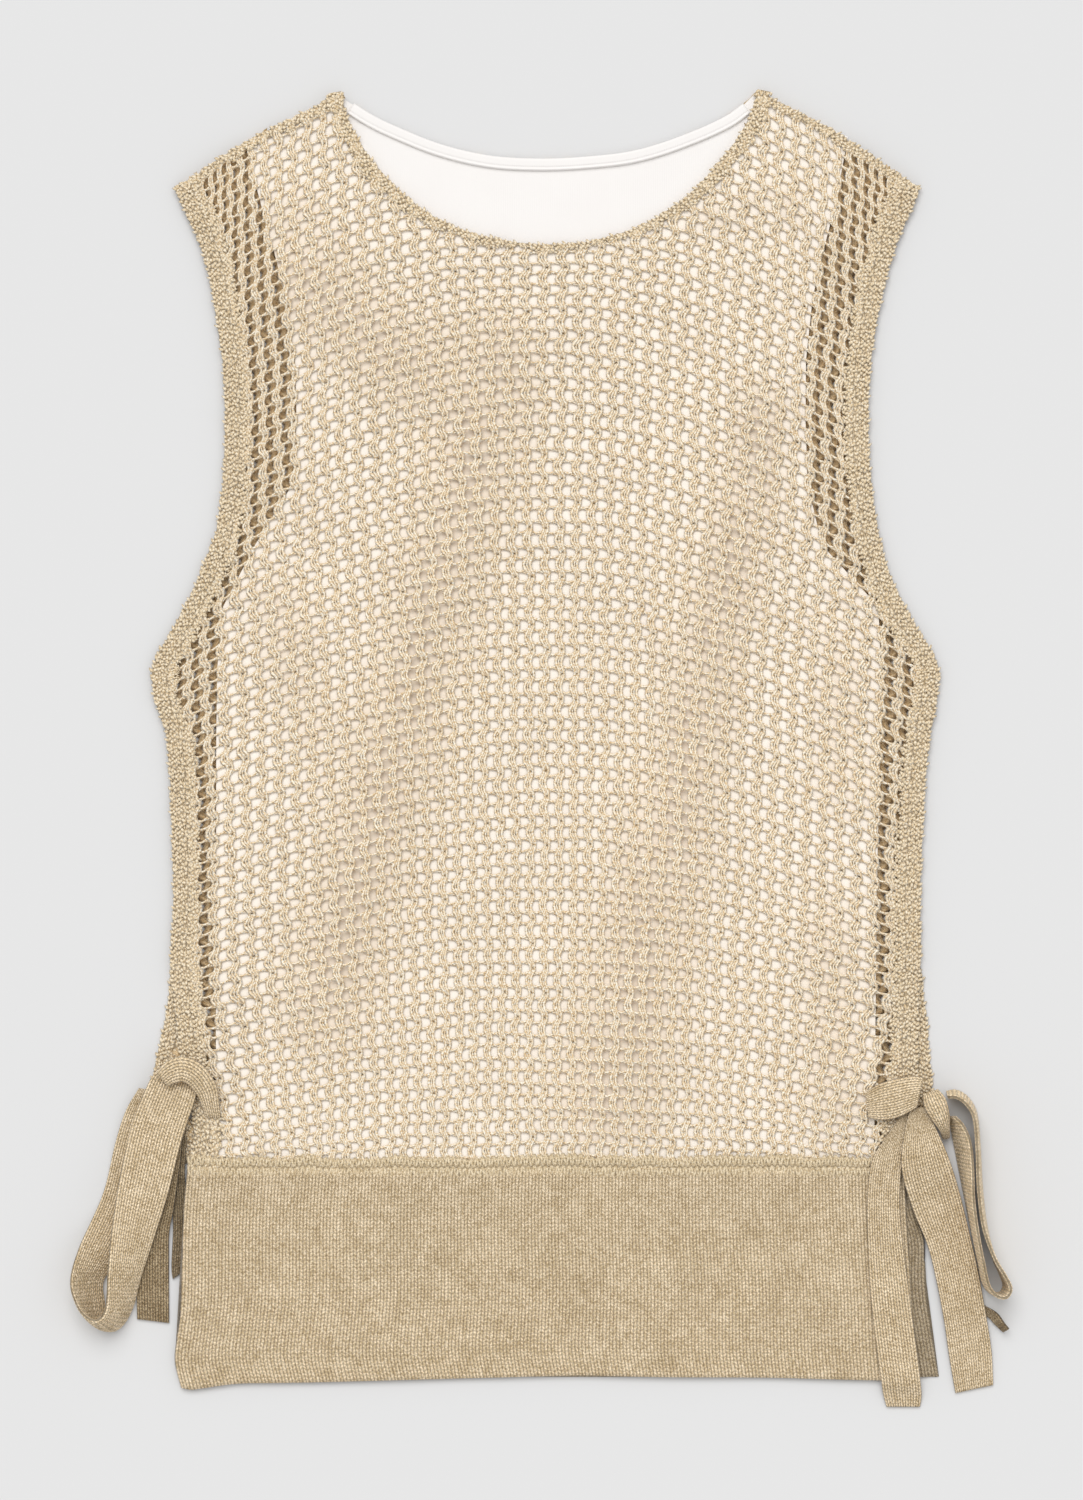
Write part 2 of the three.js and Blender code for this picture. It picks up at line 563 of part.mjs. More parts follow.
function frontNetUnder(x, y) {
  const folds = Math.max(...FRONT_FOLDS.map((fold) => foldHeight(fold, x, y)));
  const settle = ease(y, BAND_HEIGHT - 5, BAND_HEIGHT + 40);     // folds die out into the band
  const lie = FRONT_BODY_Z - FRONT_EDGE_Z + folds * settle;
  return FRONT_EDGE_Z + insideRoll(FRONT_NET_SIDES, x, y) * lie;
}

function frontBandUnder(x, y) {
  const lie = (FRONT_BODY_Z - FRONT_EDGE_Z) * THREE.MathUtils.clamp(y / BAND_HEIGHT, 0, 1);
  return FRONT_EDGE_Z + insideRoll(FRONT_BAND_SIDES, x, y) * lie;
}

// ---------------------------------------------------------------------------------------------
// The pieces
// ---------------------------------------------------------------------------------------------

const NECK_POINTS = [FRONT_NECK[0], FRONT_NECK[FRONT_NECK.length - 1]];
const seamLine = (offset) => () => BAND_HEIGHT + offset;

/** Upper edge of a body panel: shoulders with a neckline between, all lowered by an inset. */
function upperEdge(neck, neckInset, shoulderInset) {
  return (x) => {
    if (x < neck[0].x) return readTable(SHOULDER_LEFT, 'x', 'y', x) - shoulderInset;
    if (x > neck[neck.length - 1].x) return readTable(SHOULDER_RIGHT, 'x', 'y', x) - shoulderInset;
    return readTable(neck, 'x', 'y', x) - neckInset;
  };
}

const geometries = {
  back_net: panel({
    sides: BACK_NET_SIDES,
    lower: seamLine(SEAM_GAP / 2),
    upper: upperEdge(BACK_NECK, 1, 0),
    corners: NECK_POINTS,
    columns: [1, 2, 8, 2, 1],
    rows: [24, 5],
    level: CHEST_LEVEL,
    under: () => 0,
    wall: NET_WALL,
  }),
  back_hem_band: panel({
    sides: BACK_BAND_SIDES,
    lower: () => 5,
    upper: seamLine(-SEAM_GAP / 2),
    corners: [],
    columns: [1, 10, 1],
    rows: [4, 3],
    level: BAND_HEIGHT / 2,
    under: () => 0,
    wall: NET_WALL,
  }),
  back_lining: panel({
    sides: LINING_SIDES,
    lower: seamLine(3),
    upper: upperEdge(BACK_NECK, 1, 1),
    corners: NECK_POINTS,
    columns: [1, 2, 8, 2, 1],
    rows: [14, 4],
    level: CHEST_LEVEL,
    under: () => BACK_LINING_Z,
    wall: LINING_WALL,
  }),
  front_lining: panel({
    sides: LINING_SIDES,
    lower: seamLine(3),
    upper: upperEdge(FRONT_NECK, LINING_NECK_INSET, LINING_NECK_INSET),
    corners: NECK_POINTS,
    columns: [1, 2, 12, 2, 1],
    rows: [14, 4],
    level: CHEST_LEVEL,
    under: () => FRONT_LINING_Z,
    wall: LINING_WALL,
  }),
  neck_binding: edgeStrip({
    edge: BACK_NECK,
    from: -96.3,
    to: 98.3,
    width: BINDING_WIDTH,
    steps: 28,
    base: BINDING_Z,
    wall: BINDING_WALL,
  }),
  front_net: panel({
    sides: FRONT_NET_SIDES,
    lower: seamLine(SEAM_GAP / 2),
    upper: upperEdge(FRONT_NECK, 0, 0),
    corners: NECK_POINTS,
    columns: [2, 4, 14, 4, 2],
    rows: [26, 6],
    level: CHEST_LEVEL,
    under: frontNetUnder,
    wall: NET_WALL,
  }),
  front_hem_band: panel({
    sides: FRONT_BAND_SIDES,
    lower: (x) => readTable(FRONT_HEM, 'x', 'y', x),
    upper: seamLine(-SEAM_GAP / 2),
    corners: [],
    columns: [2, 18, 2],
    rows: [4, 3],
    level: BAND_HEIGHT / 2,
    under: frontBandUnder,
    wall: NET_WALL,
  }),
};

for (const [name, tie] of Object.entries(TIES)) geometries[name] = ribbon(tie);

const COLOURS = {
  back_net: 0xb19b72,
  back_hem_band: 0xbba57d,
  back_lining: 0xf6f3ee,
  front_lining: 0xfaf8f4,
  neck_binding: 0xf8f5f0,
  front_net: 0xcdb88f,
  front_hem_band: 0xc7b38b,
};

const top = new THREE.Group();
for (const [name, geometry] of Object.entries(geometries)) {
  const color = COLOURS[name] ?? TIES[name].colour;
  const mesh = new THREE.Mesh(
    geometry,
    new THREE.MeshStandardMaterial({ color, roughness: 0.85, metalness: 0 }),
  );
  mesh.name = name;
  top.add(mesh);
}

// The origin goes to the middle of the footprint, on the surface that the top lies on.
const bounds = new THREE.Box3().setFromObject(top);
const middle = bounds.getCenter(new THREE.Vector3());
top.position.set(-middle.x, -middle.y, -bounds.min.z);

export default top;
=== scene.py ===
"""Looks of a sleeveless openwork knit top that lies flat on a pale floor with its front up.

Every piece of cloth is rebuilt on the form of its solid in the frame: two panels of net made of
laid yarn, plain knit margins, two hem bands, a jersey lining with a bound neck, and knitted ties.
"""

import logging
import math
from dataclasses import dataclass, field
from enum import Enum
from typing import Callable, Sequence

import bmesh
import bpy
import numpy as np
from mathutils import Matrix, Vector
from mathutils.bvhtree import BVHTree


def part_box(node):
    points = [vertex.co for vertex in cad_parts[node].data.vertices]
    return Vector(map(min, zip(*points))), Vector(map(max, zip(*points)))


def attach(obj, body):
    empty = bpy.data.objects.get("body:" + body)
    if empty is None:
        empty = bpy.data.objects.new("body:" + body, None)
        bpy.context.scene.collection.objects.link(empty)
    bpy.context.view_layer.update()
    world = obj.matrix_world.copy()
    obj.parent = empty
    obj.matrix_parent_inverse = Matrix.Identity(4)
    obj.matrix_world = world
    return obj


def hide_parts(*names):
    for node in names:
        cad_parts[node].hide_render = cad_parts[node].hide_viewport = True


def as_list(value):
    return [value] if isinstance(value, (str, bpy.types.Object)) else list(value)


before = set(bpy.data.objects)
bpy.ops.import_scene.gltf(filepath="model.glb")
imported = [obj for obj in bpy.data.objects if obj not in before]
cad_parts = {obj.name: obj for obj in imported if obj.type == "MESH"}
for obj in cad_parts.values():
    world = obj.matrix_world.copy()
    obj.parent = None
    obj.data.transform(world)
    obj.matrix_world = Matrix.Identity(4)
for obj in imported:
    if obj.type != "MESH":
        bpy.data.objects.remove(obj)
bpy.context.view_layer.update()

LOG = logging.getLogger("knit_top")
MM = 0.001

# The tables below are measured from the centre front and the hem. These two lengths place them in
# the frame: the linings' left edge and the seam above the hem band.
LINING_LEFT_EDGE = -165.3 * MM
BAND_SEAM_HEIGHT = 110.0 * MM
SEAM_GAP = 0.3 * MM
SHIFT_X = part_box("back_lining")[0].x - LINING_LEFT_EDGE
SHIFT_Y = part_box("front_hem_band")[1].y + SEAM_GAP / 2 - BAND_SEAM_HEIGHT
SEAM_Y = SHIFT_Y + BAND_SEAM_HEIGHT

NET_WALL = 1.8 * MM
NET_DEPTH = 1.9 * MM        # from the top of the net's wall down to the lining
SAME_POINT = 1e-6           # metres within which two points are one
SHEEN_ROUGHNESS = 0.45
SOFT_SPECULAR = 0.35

CLOTH_MAP = "cloth"         # metres across and along the cloth
# The rise, hollow and bare maps feed painted shade: low in the yarn, on the lining under the net's
# folds, and on yarn that has no lining behind it.
RISE_MAP = "rise"           # 0 at the lowest of the yarn, 1 at its highest
NET_SHADE_MAP = "hollow"       # 1 where the net stands high over the lining
BARE_MAP = "bare"           # 1 where no lining lies behind the yarn

Points = np.ndarray
Wrap = Callable[[Points, Points], tuple[Points, Points, Points]]
Colour = tuple[float, float, float, float]
Rows = tuple[tuple[float, ...], ...]


class Slot(Enum):
    """Material slots."""

    NET = "openwork_knit"
    PLAIN = "plain_knit"
    LINING = "lining_jersey"


class Hold(Enum):
    """Ways in which a sheet of cloth is held."""

    LAID = "laid"


class Tone(Enum):
    """Painted light on a tie's face, loops and knots, and painted shade under and deep in the bow.
    """

    FACE = 1.12
    LOOP = 1.16
    REVERSE = 0.90
    DEEP_SHADE = 0.62

    @property
    def painted_in_shade(self) -> bool:
        """Whether the stretch is painted in shade, with darker, warmer yarn colours."""
        return self in (Tone.REVERSE, Tone.DEEP_SHADE)


# ------------------------------------------------------------------------------------------------
# Shader expressions
# ------------------------------------------------------------------------------------------------


class Number:
    """A number in a node tree, used in Python expressions."""

    def __init__(self, bench: "Bench", socket: bpy.types.NodeSocket) -> None:
        """Keep the socket and the bench that adds nodes to it."""
        self.bench = bench
        self.socket = socket

    def _maths(self, operation: str, first: object, second: object) -> "Number":
        """Add one Math node."""
        return self.bench.node("ShaderNodeMath", {"operation": operation}, {0: first, 1: second})

    def __add__(self, other: object) -> "Number":
        """Sum."""
        return self._maths("ADD", self, other)

    def __radd__(self, other: object) -> "Number":
        """Sum with a plain number first."""
        return self._maths("ADD", other, self)

    def __sub__(self, other: object) -> "Number":
        """Difference."""
        return self._maths("SUBTRACT", self, other)

    def __rsub__(self, other: object) -> "Number":
        """Difference with a plain number first."""
        return self._maths("SUBTRACT", other, self)

    def __mul__(self, other: object) -> "Number":
        """Product."""
        return self._maths("MULTIPLY", self, other)

    def __rmul__(self, other: object) -> "Number":
        """Product with a plain number first."""
        return self._maths("MULTIPLY", other, self)

    def __truediv__(self, other: object) -> "Number":
        """Quotient."""
        return self._maths("DIVIDE", self, other)

    def wave(self) -> "Number":
        """Cosine of a number of turns, from 0 to 1."""
        turned = self * math.tau
        return self.bench.node("ShaderNodeMath", {"operation": "COSINE"}, {0: turned}) * 0.5 + 0.5

    def whole(self) -> "Number":
        """The whole part below."""
        return self.bench.node("ShaderNodeMath", {"operation": "FLOOR"}, {0: self})

    def eased(self, low: float, high: float) -> "Number":
        """0 below low, 1 above high, and an even S between."""
        settings = {"interpolation_type": "SMOOTHSTEP"}
        return self.bench.node("ShaderNodeMapRange", settings, {0: self, 1: low, 2: high})


class Bench:
    """Builds one material's node tree."""

    def __init__(self, name: str) -> None:
        """Start a material with a bare principled shader.

        Args:
            name: The material's name.
        """
        self.material = bpy.data.materials.new(name)
        self.material.use_nodes = True
        self.nodes = self.material.node_tree.nodes
        self.links = self.material.node_tree.links
        self.nodes.clear()
        self.shader = self.nodes.new("ShaderNodeBsdfPrincipled")
        output = self.nodes.new("ShaderNodeOutputMaterial")
        self.links.new(self.shader.outputs["BSDF"], output.inputs["Surface"])

    def node(self, kind: str, settings: dict, inputs: dict, output: object = 0) -> Number:
        """Add one node.

        Args:
            kind: Blender's type of node.
            settings: Properties, set first. A list of stops under "stops" fills a colour ramp.
            inputs: Values or other nodes' outputs, by socket name or place.
            output: Name or place of the output that is wanted.

        Returns:
            That output.
        """
        made = self.nodes.new(kind)
        for key, value in settings.items():
            if key == "stops":
                self._fill_ramp(made.color_ramp, value)
            else:
                setattr(made, key, value)
        for key, value in inputs.items():
            self.feed(made.inputs[key], value)
        return Number(self, made.outputs[output])

    @staticmethod
    def _fill_ramp(ramp: bpy.types.ColorRamp, stops: Sequence[tuple[float, tuple]]) -> None:
        """Put stops into a ramp.

        Args:
            ramp: The ramp to fill.
            stops: Place and colour of each stop.
        """
        while len(ramp.elements) < len(stops):
            ramp.elements.new(1.0)
        for element, (place, colour) in zip(ramp.elements, stops):
            element.position = place
            element.color = (*colour[:3], 1.0)

    def feed(self, socket: bpy.types.NodeSocket, value: object) -> None:
        """Link or set one input.

        Args:
            socket: The input.
            value: Another node's output, which is linked, or a value, which is set.
        """
        if isinstance(value, Number):
            self.links.new(value.socket, socket)
        else:
            socket.default_value = value

    def place(self) -> Number:
        """Object coordinates, in metres."""
        return self.node("ShaderNodeTexCoord", {}, {}, "Object")

    def cloth(self) -> tuple[Number, Number]:
        """Read the piece's own map.

        Returns:
            Metres across the cloth, and metres along it.
        """
        uv = self.node("ShaderNodeUVMap", {"uv_map": CLOTH_MAP}, {})
        parts = self.nodes.new("ShaderNodeSeparateXYZ")
        self.feed(parts.inputs[0], uv)
        return Number(self, parts.outputs[0]), Number(self, parts.outputs[1])

    def noise(self, where: Number, size: float, detail: float = 1.0) -> Number:
        """Noise whose blots are about the given size.

        Args:
            where: Coordinates.
            size: Size of a blot in metres.
            detail: Octaves past the first.

        Returns:
            A number round 0.5.
        """
        inputs = {"Vector": where, "Scale": 1.0 / size, "Detail": detail, "Roughness": 0.55}
        return self.node("ShaderNodeTexNoise", {"noise_dimensions": "3D"}, inputs)

    def blend(self, share: object, first: object, second: object) -> Number:
        """Mix two colours by a share."""
        settings = {"data_type": "RGBA", "blend_type": "MIX", "clamp_factor": True}
        return self.node("ShaderNodeMix", settings, {0: share, 6: first, 7: second}, 2)

    def tint(self, colour: object, amount: Number) -> Number:
        """Multiply a colour by a number."""
        settings = {"operation": "SCALE"}
        return self.node("ShaderNodeVectorMath", settings, {0: colour, "Scale": amount})

    def finish(self, colour: object, roughness: object, sheen: float, relief: Number,
               depth: float, strength: float = 1.0) -> bpy.types.Material:
        """Wire the shader.

        Args:
            colour: Base colour.
            roughness: Roughness.
            sheen: Weight of the cloth's sheen.
            relief: Height from 0 to 1.
            depth: Metres that a height of 1 stands for.
            strength: Share of the relief that shows.

        Returns:
            The material.
        """
        bump = {"Height": relief, "Distance": depth, "Strength": strength}
        self.feed(self.shader.inputs["Base Color"], colour)
        self.feed(self.shader.inputs["Roughness"], roughness)
        self.feed(self.shader.inputs["Sheen Weight"], sheen)
        self.feed(self.shader.inputs["Sheen Roughness"], SHEEN_ROUGHNESS)
        self.feed(self.shader.inputs["Specular IOR Level"], SOFT_SPECULAR)
        self.feed(self.shader.inputs["Normal"], self.node("ShaderNodeBump", {}, bump))
        return self.material


def shade(red: float, green: float, blue: float) -> Colour:
    """A colour as seen on a screen, 0 to 255, turned into light."""
    parts = [part / 255 for part in (red, green, blue)]
    light = [p / 12.92 if p <= 0.04045 else ((p + 0.055) / 1.055) ** 2.4 for p in parts]
    return (*light, 1.0)


# ------------------------------------------------------------------------------------------------
# Finishes
# ------------------------------------------------------------------------------------------------


@dataclass(frozen=True)
class MarledYarn:
    """Loose yarn of the net: cream, tan and gold plies twisted together, with painted shade low in
    the cloth.

    The yarn takes the deep colour, a painted shade, below the first of two rises and is all marl
    above the second. Yarn with no lining behind it is painted a little darker, as shade.
    """

    name: str = "marled_yarn"
    deep_shade: Colour = shade(190, 156, 98)
    gold: Colour = shade(216, 184, 138)
    tan: Colour = shade(244, 222, 187)
    cream: Colour = shade(255, 247, 230)
    shade_below: tuple[float, float] = (0.40, 0.62)
    bare_shade: float = 0.05
    fleck: float = 0.9 * MM
    speck: float = 0.4 * MM
    drift: float = 45 * MM
    ply: float = 0.75 * MM
    roughness: float = 0.62
    sheen: float = 0.25

    def material(self) -> bpy.types.Material:
        """Build the node tree.

        Returns:
            The material.
        """
        bench = Bench(self.name)
        place = bench.place()
        flecks = bench.noise(place, self.fleck) * 0.62 + bench.noise(place, self.speck) * 0.38
        stops = [(0.38, self.gold), (0.49, self.tan), (0.60, self.cream)]
        marl = bench.node("ShaderNodeValToRGB", {"stops": stops}, {0: flecks})
        drift = bench.noise(place, self.drift, 2.0)
        # Painted shade: the yarn darkens to the deep colour where it lies low in the cloth.
        rise = bench.node("ShaderNodeAttribute", {"attribute_name": RISE_MAP}, {}, "Fac")
        lit = bench.blend(rise.eased(*self.shade_below), self.deep_shade, marl)
        # Painted shade: yarn with no lining behind it is painted a little darker.
        bare = bench.node("ShaderNodeAttribute", {"attribute_name": BARE_MAP}, {}, "Fac")
        colour = bench.tint(lit, (drift * 0.10 + 0.95) * (1.0 - bare * self.bare_shade))
        twist = {"Vector": place, "Scale": 1.0 / (self.ply * 3.2), "Distortion": 1.4}
        plies = bench.node("ShaderNodeTexWave", {"bands_direction": "DIAGONAL"}, twist, "Fac")
        relief = plies * 0.7 + bench.noise(place, self.speck) * 0.3
        return bench.finish(colour, drift * 0.12 + self.roughness - 0.06, self.sheen, relief,
                            0.12 * MM, 0.5)


@dataclass(frozen=True)
class PlainKnit:
    """Fine plain knit of the same yarn, on a piece whose map runs across and along its wales.

    Its hollows are painted in shade.
    """

    name: str
    wale: float
    course: float
    gold: Colour = shade(175, 150, 110)
    tan: Colour = shade(211, 188, 151)
    cream: Colour = shade(254, 234, 203)
    hollow: float = 0.42
    brightness: float = 1.0
    slant: float = 0.55
    fleck: float = 0.42 * MM
    patch: float = 9 * MM
    fuzz: float = 0.6 * MM
    drift: float = 30 * MM
    roughness: float = 0.66
    sheen: float = 0.22

    def material(self) -> bpy.types.Material:
        """Build the node tree.

        Returns:
            The material.
        """
        bench = Bench(self.name)
        place = bench.place()
        across, along = bench.cloth()
        halves = across / (self.wale / 2)
        leg = halves.whole()
        beside = halves - leg - 0.5
        facing = (leg * 0.5 - (leg * 0.5).whole()) * 4.0 - 1.0
        climb = along / self.course + beside * facing * self.slant
        spot = bench.node("ShaderNodeCombineXYZ", {}, {0: leg, 1: climb.whole()})
        dye = bench.node("ShaderNodeTexWhiteNoise", {"noise_dimensions": "2D"}, {"Vector": spot})
        flecks = dye * 0.08 + bench.noise(place, self.fleck) * 0.80
        flecks = flecks + bench.noise(place, self.patch) * 0.12
        stops = [(0.385, self.gold), (0.50, self.tan), (0.615, self.cream)]
        marl = bench.node("ShaderNodeValToRGB", {"stops": stops}, {0: flecks})
        plump = 1.0 - beside * beside * 4.0
        links = climb.wave()
        height = plump * (links * 0.6 + 0.4)
        drift = bench.noise(place, self.drift, 2.0)
        # Painted shade: the colour darkens towards the low parts of the relief, down to the hollow
        # share.
        shaded = height.eased(0.0, 0.75) * (1.0 - self.hollow) + self.hollow
        colour = bench.tint(marl, shaded * (drift * 0.10 + 0.95) * self.brightness)
        relief = height * 0.8 + bench.noise(place, self.fuzz) * 0.2
        return bench.finish(colour, self.roughness, self.sheen, relief, 0.45 * MM, 0.9)


@dataclass(frozen=True)
class Jersey:
    """Smooth matt white jersey with very fine wales, faint clouds of painted shadow, and painted
    shade under the folds of the net over it.
    """

    name: str = "white_jersey"
    colour: Colour = shade(238, 235, 232)
    shadow: Colour = shade(235, 231, 228)
    shade_under_folds: Colour = shade(246, 234, 217)
    wale: float = 0.9 * MM
    cloud: float = 22 * MM
    fuzz: float = 0.5 * MM

    def material(self) -> bpy.types.Material:
        """Build the node tree.

        Returns:
            The material.
        """
        bench = Bench(self.name)
        place = bench.place()
        clouds = bench.noise(place, self.cloud, 2.0)
        hollow = bench.node("ShaderNodeAttribute", {"attribute_name": NET_SHADE_MAP}, {}, "Fac")
        colour = bench.blend(clouds, self.shadow, self.colour)
        # Painted shade: the lining turns beige where the net stands high over it.
        colour = bench.blend(hollow, colour, self.shade_under_folds)
        bands = {"Vector": place, "Scale": 1.0 / (self.wale * 3.2), "Distortion": 0.6}
        wales = bench.node("ShaderNodeTexWave", {"bands_direction": "X"}, bands, "Fac")
        relief = wales * 0.6 + bench.noise(place, self.fuzz) * 0.4
        return bench.finish(colour, 0.82, 0.15, relief, 0.06 * MM, 0.5)


@dataclass(frozen=True)
class PaleFloor:
    """Plain matt studio floor."""

    name: str = "pale_floor"
    colour: Colour = shade(217, 217, 217)

    def material(self) -> bpy.types.Material:
        """Build the node tree.

        Returns:
            The material.
        """
        bench = Bench(self.name)
        bench.feed(bench.shader.inputs["Base Color"], self.colour)
        bench.feed(bench.shader.inputs["Roughness"], 0.95)
        bench.feed(bench.shader.inputs["Specular IOR Level"], 0.0)
        return bench.material


# ------------------------------------------------------------------------------------------------
# Measures taken from the frame's solids
# ------------------------------------------------------------------------------------------------


class SoftNoise:
    """Smooth noise on the plane from a seeded lattice of values."""

    def __init__(self, seed: int, cell: float, size: int = 256) -> None:
        """Draw the lattice.

        Args:
            seed: Seed of the draw.
            cell: Distance between values in metres.
            size: Values each way before the lattice repeats.
        """
        self.cell = cell
        self.size = size
        self.values = np.random.default_rng(seed).uniform(-1, 1, (size, size))

    def at(self, x: Points, y: Points) -> Points:
        """Read the noise.

        Args:
            x: Places across, in metres.
            y: Places up, in metres.

        Returns:
            Values from -1 to 1.
        """
        u = x / self.cell + self.size / 2
        v = y / self.cell + self.size / 2
        left, low = np.floor(u).astype(int), np.floor(v).astype(int)
        s, t = u - left, v - low
        s, t = s * s * (3 - 2 * s), t * t * (3 - 2 * t)

        def pick(i: int, j: int) -> Points:
            """The lattice's values at one corner of each place's cell."""
            return self.values[(left + i) % self.size, (low + j) % self.size]

        bottom = pick(0, 0) * (1 - s) + pick(1, 0) * s
        top = pick(0, 1) * (1 - s) + pick(1, 1) * s
        return bottom * (1 - t) + top * t


def solid_copy(node: str) -> bmesh.types.BMesh:
    """Copy a solid's mesh and merge its doubled points.

    Args:
        node: The solid's name.

    Returns:
        The copy.
    """
    copy = bmesh.new()
    copy.from_mesh(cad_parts[node].data)
    bmesh.ops.remove_doubles(copy, verts=copy.verts, dist=SAME_POINT)
    return copy


class Lie:
    """Height of a panel's upper face at any place, taken from its solid."""

    STEP = 3.0 * MM
    MARGIN = 6              # samples past the solid's edge

    def __init__(self, node: str) -> None:
        """Sample the solid from above on an even lattice and spread it past the edge.

        Args:
            node: The solid's name.
        """
        low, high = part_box(node)
        copy = solid_copy(node)
        tree = BVHTree.FromBMesh(copy)
        copy.free()
        self.x0 = low.x - self.MARGIN * self.STEP
        self.y0 = low.y - self.MARGIN * self.STEP
        columns = int((high.x - low.x) / self.STEP) + 2 * self.MARGIN + 2
        rows = int((high.y - low.y) / self.STEP) + 2 * self.MARGIN + 2
        heights = np.full((columns, rows), np.nan)
        down = Vector((0, 0, -1))
        for i in range(columns):
            for j in range(rows):
                start = Vector((self.x0 + i * self.STEP, self.y0 + j * self.STEP, 1.0))
                hit = tree.ray_cast(start, down)[0]
                if hit is not None:
                    heights[i, j] = hit.z
        self.heights = self._spread(heights)

    @staticmethod
    def _spread(heights: Points) -> Points:
        """Fill empty samples from their neighbours, ring by ring.

        Args:
            heights: Samples, not a number where the solid was missed.

        Returns:
            The samples with none left empty.
        """
        while np.isnan(heights).any():
            padded = np.pad(heights, 1, constant_values=np.nan)
            around = [padded[:-2, 1:-1], padded[2:, 1:-1], padded[1:-1, :-2], padded[1:-1, 2:]]
            known = np.stack([~np.isnan(side) for side in around]).sum(axis=0)
            total = np.stack([np.nan_to_num(side) for side in around]).sum(axis=0)
            fill = np.isnan(heights) & (known > 0)
            heights = np.where(fill, total / np.maximum(known, 1), heights)
        return heights

    def at(self, x: Points, y: Points) -> Points:
        """Read heights between the samples.

        Args:
            x: Places across, in metres.
            y: Places up, in metres.

        Returns:
            Heights in metres.
        """
        u = np.clip((x - self.x0) / self.STEP, 0, self.heights.shape[0] - 1.001)
        v = np.clip((y - self.y0) / self.STEP, 0, self.heights.shape[1] - 1.001)
        left, low = np.floor(u).astype(int), np.floor(v).astype(int)
        s, t = u - left, v - low
        h = self.heights
        bottom = h[left, low] * (1 - s) + h[left + 1, low] * s
        top = h[left, low + 1] * (1 - s) + h[left + 1, low + 1] * s
        return bottom * (1 - t) + top * t


class Line:
    """A smooth plane curve through a few points, walked by its length."""

    FINE = 12               # short steps between two of the points
    SAMPLE = 2 * MM         # between the places that an inset is measured from
    BATCH = 20000           # places measured at once

    def __init__(self, points: Points, closed: bool = False) -> None:
        """Smooth the points.

        Args:
            points: Corners of the curve, one row each.
            closed: Whether the last point joins the first.
        """
        knots = np.asarray(points, float)
        before = np.vstack([2 * knots[0] - knots[1], knots, 2 * knots[-1] - knots[-2]])
        if closed:
            before = np.vstack([knots[-2], knots, knots[1]])
        t = np.linspace(0, 1, self.FINE, endpoint=False)[:, None]
        bits = []
        for a, b, c, d in zip(before[:-3], before[1:-2], before[2:-1], before[3:]):
            bits.append(0.5 * (2 * b + (c - a) * t + (2 * a - 5 * b + 4 * c - d) * t ** 2
                               + (3 * b - a - 3 * c + d) * t ** 3))
        self.points = np.vstack([*bits, before[-2]])
        steps = np.linalg.norm(np.diff(self.points, axis=0), axis=1)
        self.walked = np.concatenate([[0], np.cumsum(steps)])
        self.length = float(self.walked[-1])

    def at(self, distance: Points) -> tuple[Points, Points]:
        """Places at distances along the curve."""
        x = np.interp(distance, self.walked, self.points[:, 0])
        y = np.interp(distance, self.walked, self.points[:, 1])
        return x, y

    def left_normal(self, distance: Points, reach: float = 4 * MM) -> tuple[Points, Points]:
        """Find which way is left of the walk.

        Args:
            distance: Distances along the curve.
            reach: How far to each side of a place its direction is read.

        Returns:
            Unit vectors' parts across and up.
        """
        x0, y0 = self.at(np.clip(distance - reach, 0, self.length))
        x1, y1 = self.at(np.clip(distance + reach, 0, self.length))
        size = np.maximum(np.hypot(x1 - x0, y1 - y0), 1e-9)
        return -(y1 - y0) / size, (x1 - x0) / size

    def inset(self, x: Points, y: Points) -> Points:
        """Measure how far places lie to the left of the curve.

        Args:
            x: Places across, in metres.
            y: Places up, in metres.

        Returns:
            Metres from the curve, negative on its right.
        """
        samples = np.linspace(0, self.length, int(self.length / self.SAMPLE) + 2)
        px, py = self.at(samples)
        nx, ny = self.left_normal(samples)
        found = np.empty(len(x))
        for start in range(0, len(x), self.BATCH):
            part = slice(start, start + self.BATCH)
            dx = x[part, None] - px[None, :]
            dy = y[part, None] - py[None, :]
            near = np.argmin(dx * dx + dy * dy, axis=1)
            rows = np.arange(len(near))
            gap = np.hypot(dx[rows, near], dy[rows, near])
            side = dx[rows, near] * nx[near] + dy[rows, near] * ny[near]
            found[part] = np.where(side >= 0, gap, -gap)
        return found


def local(x: float, y: float) -> Vector:
    """A place in the frame from millimetres off the centre front and above the hem."""
    return Vector((x * MM + SHIFT_X, y * MM + SHIFT_Y))


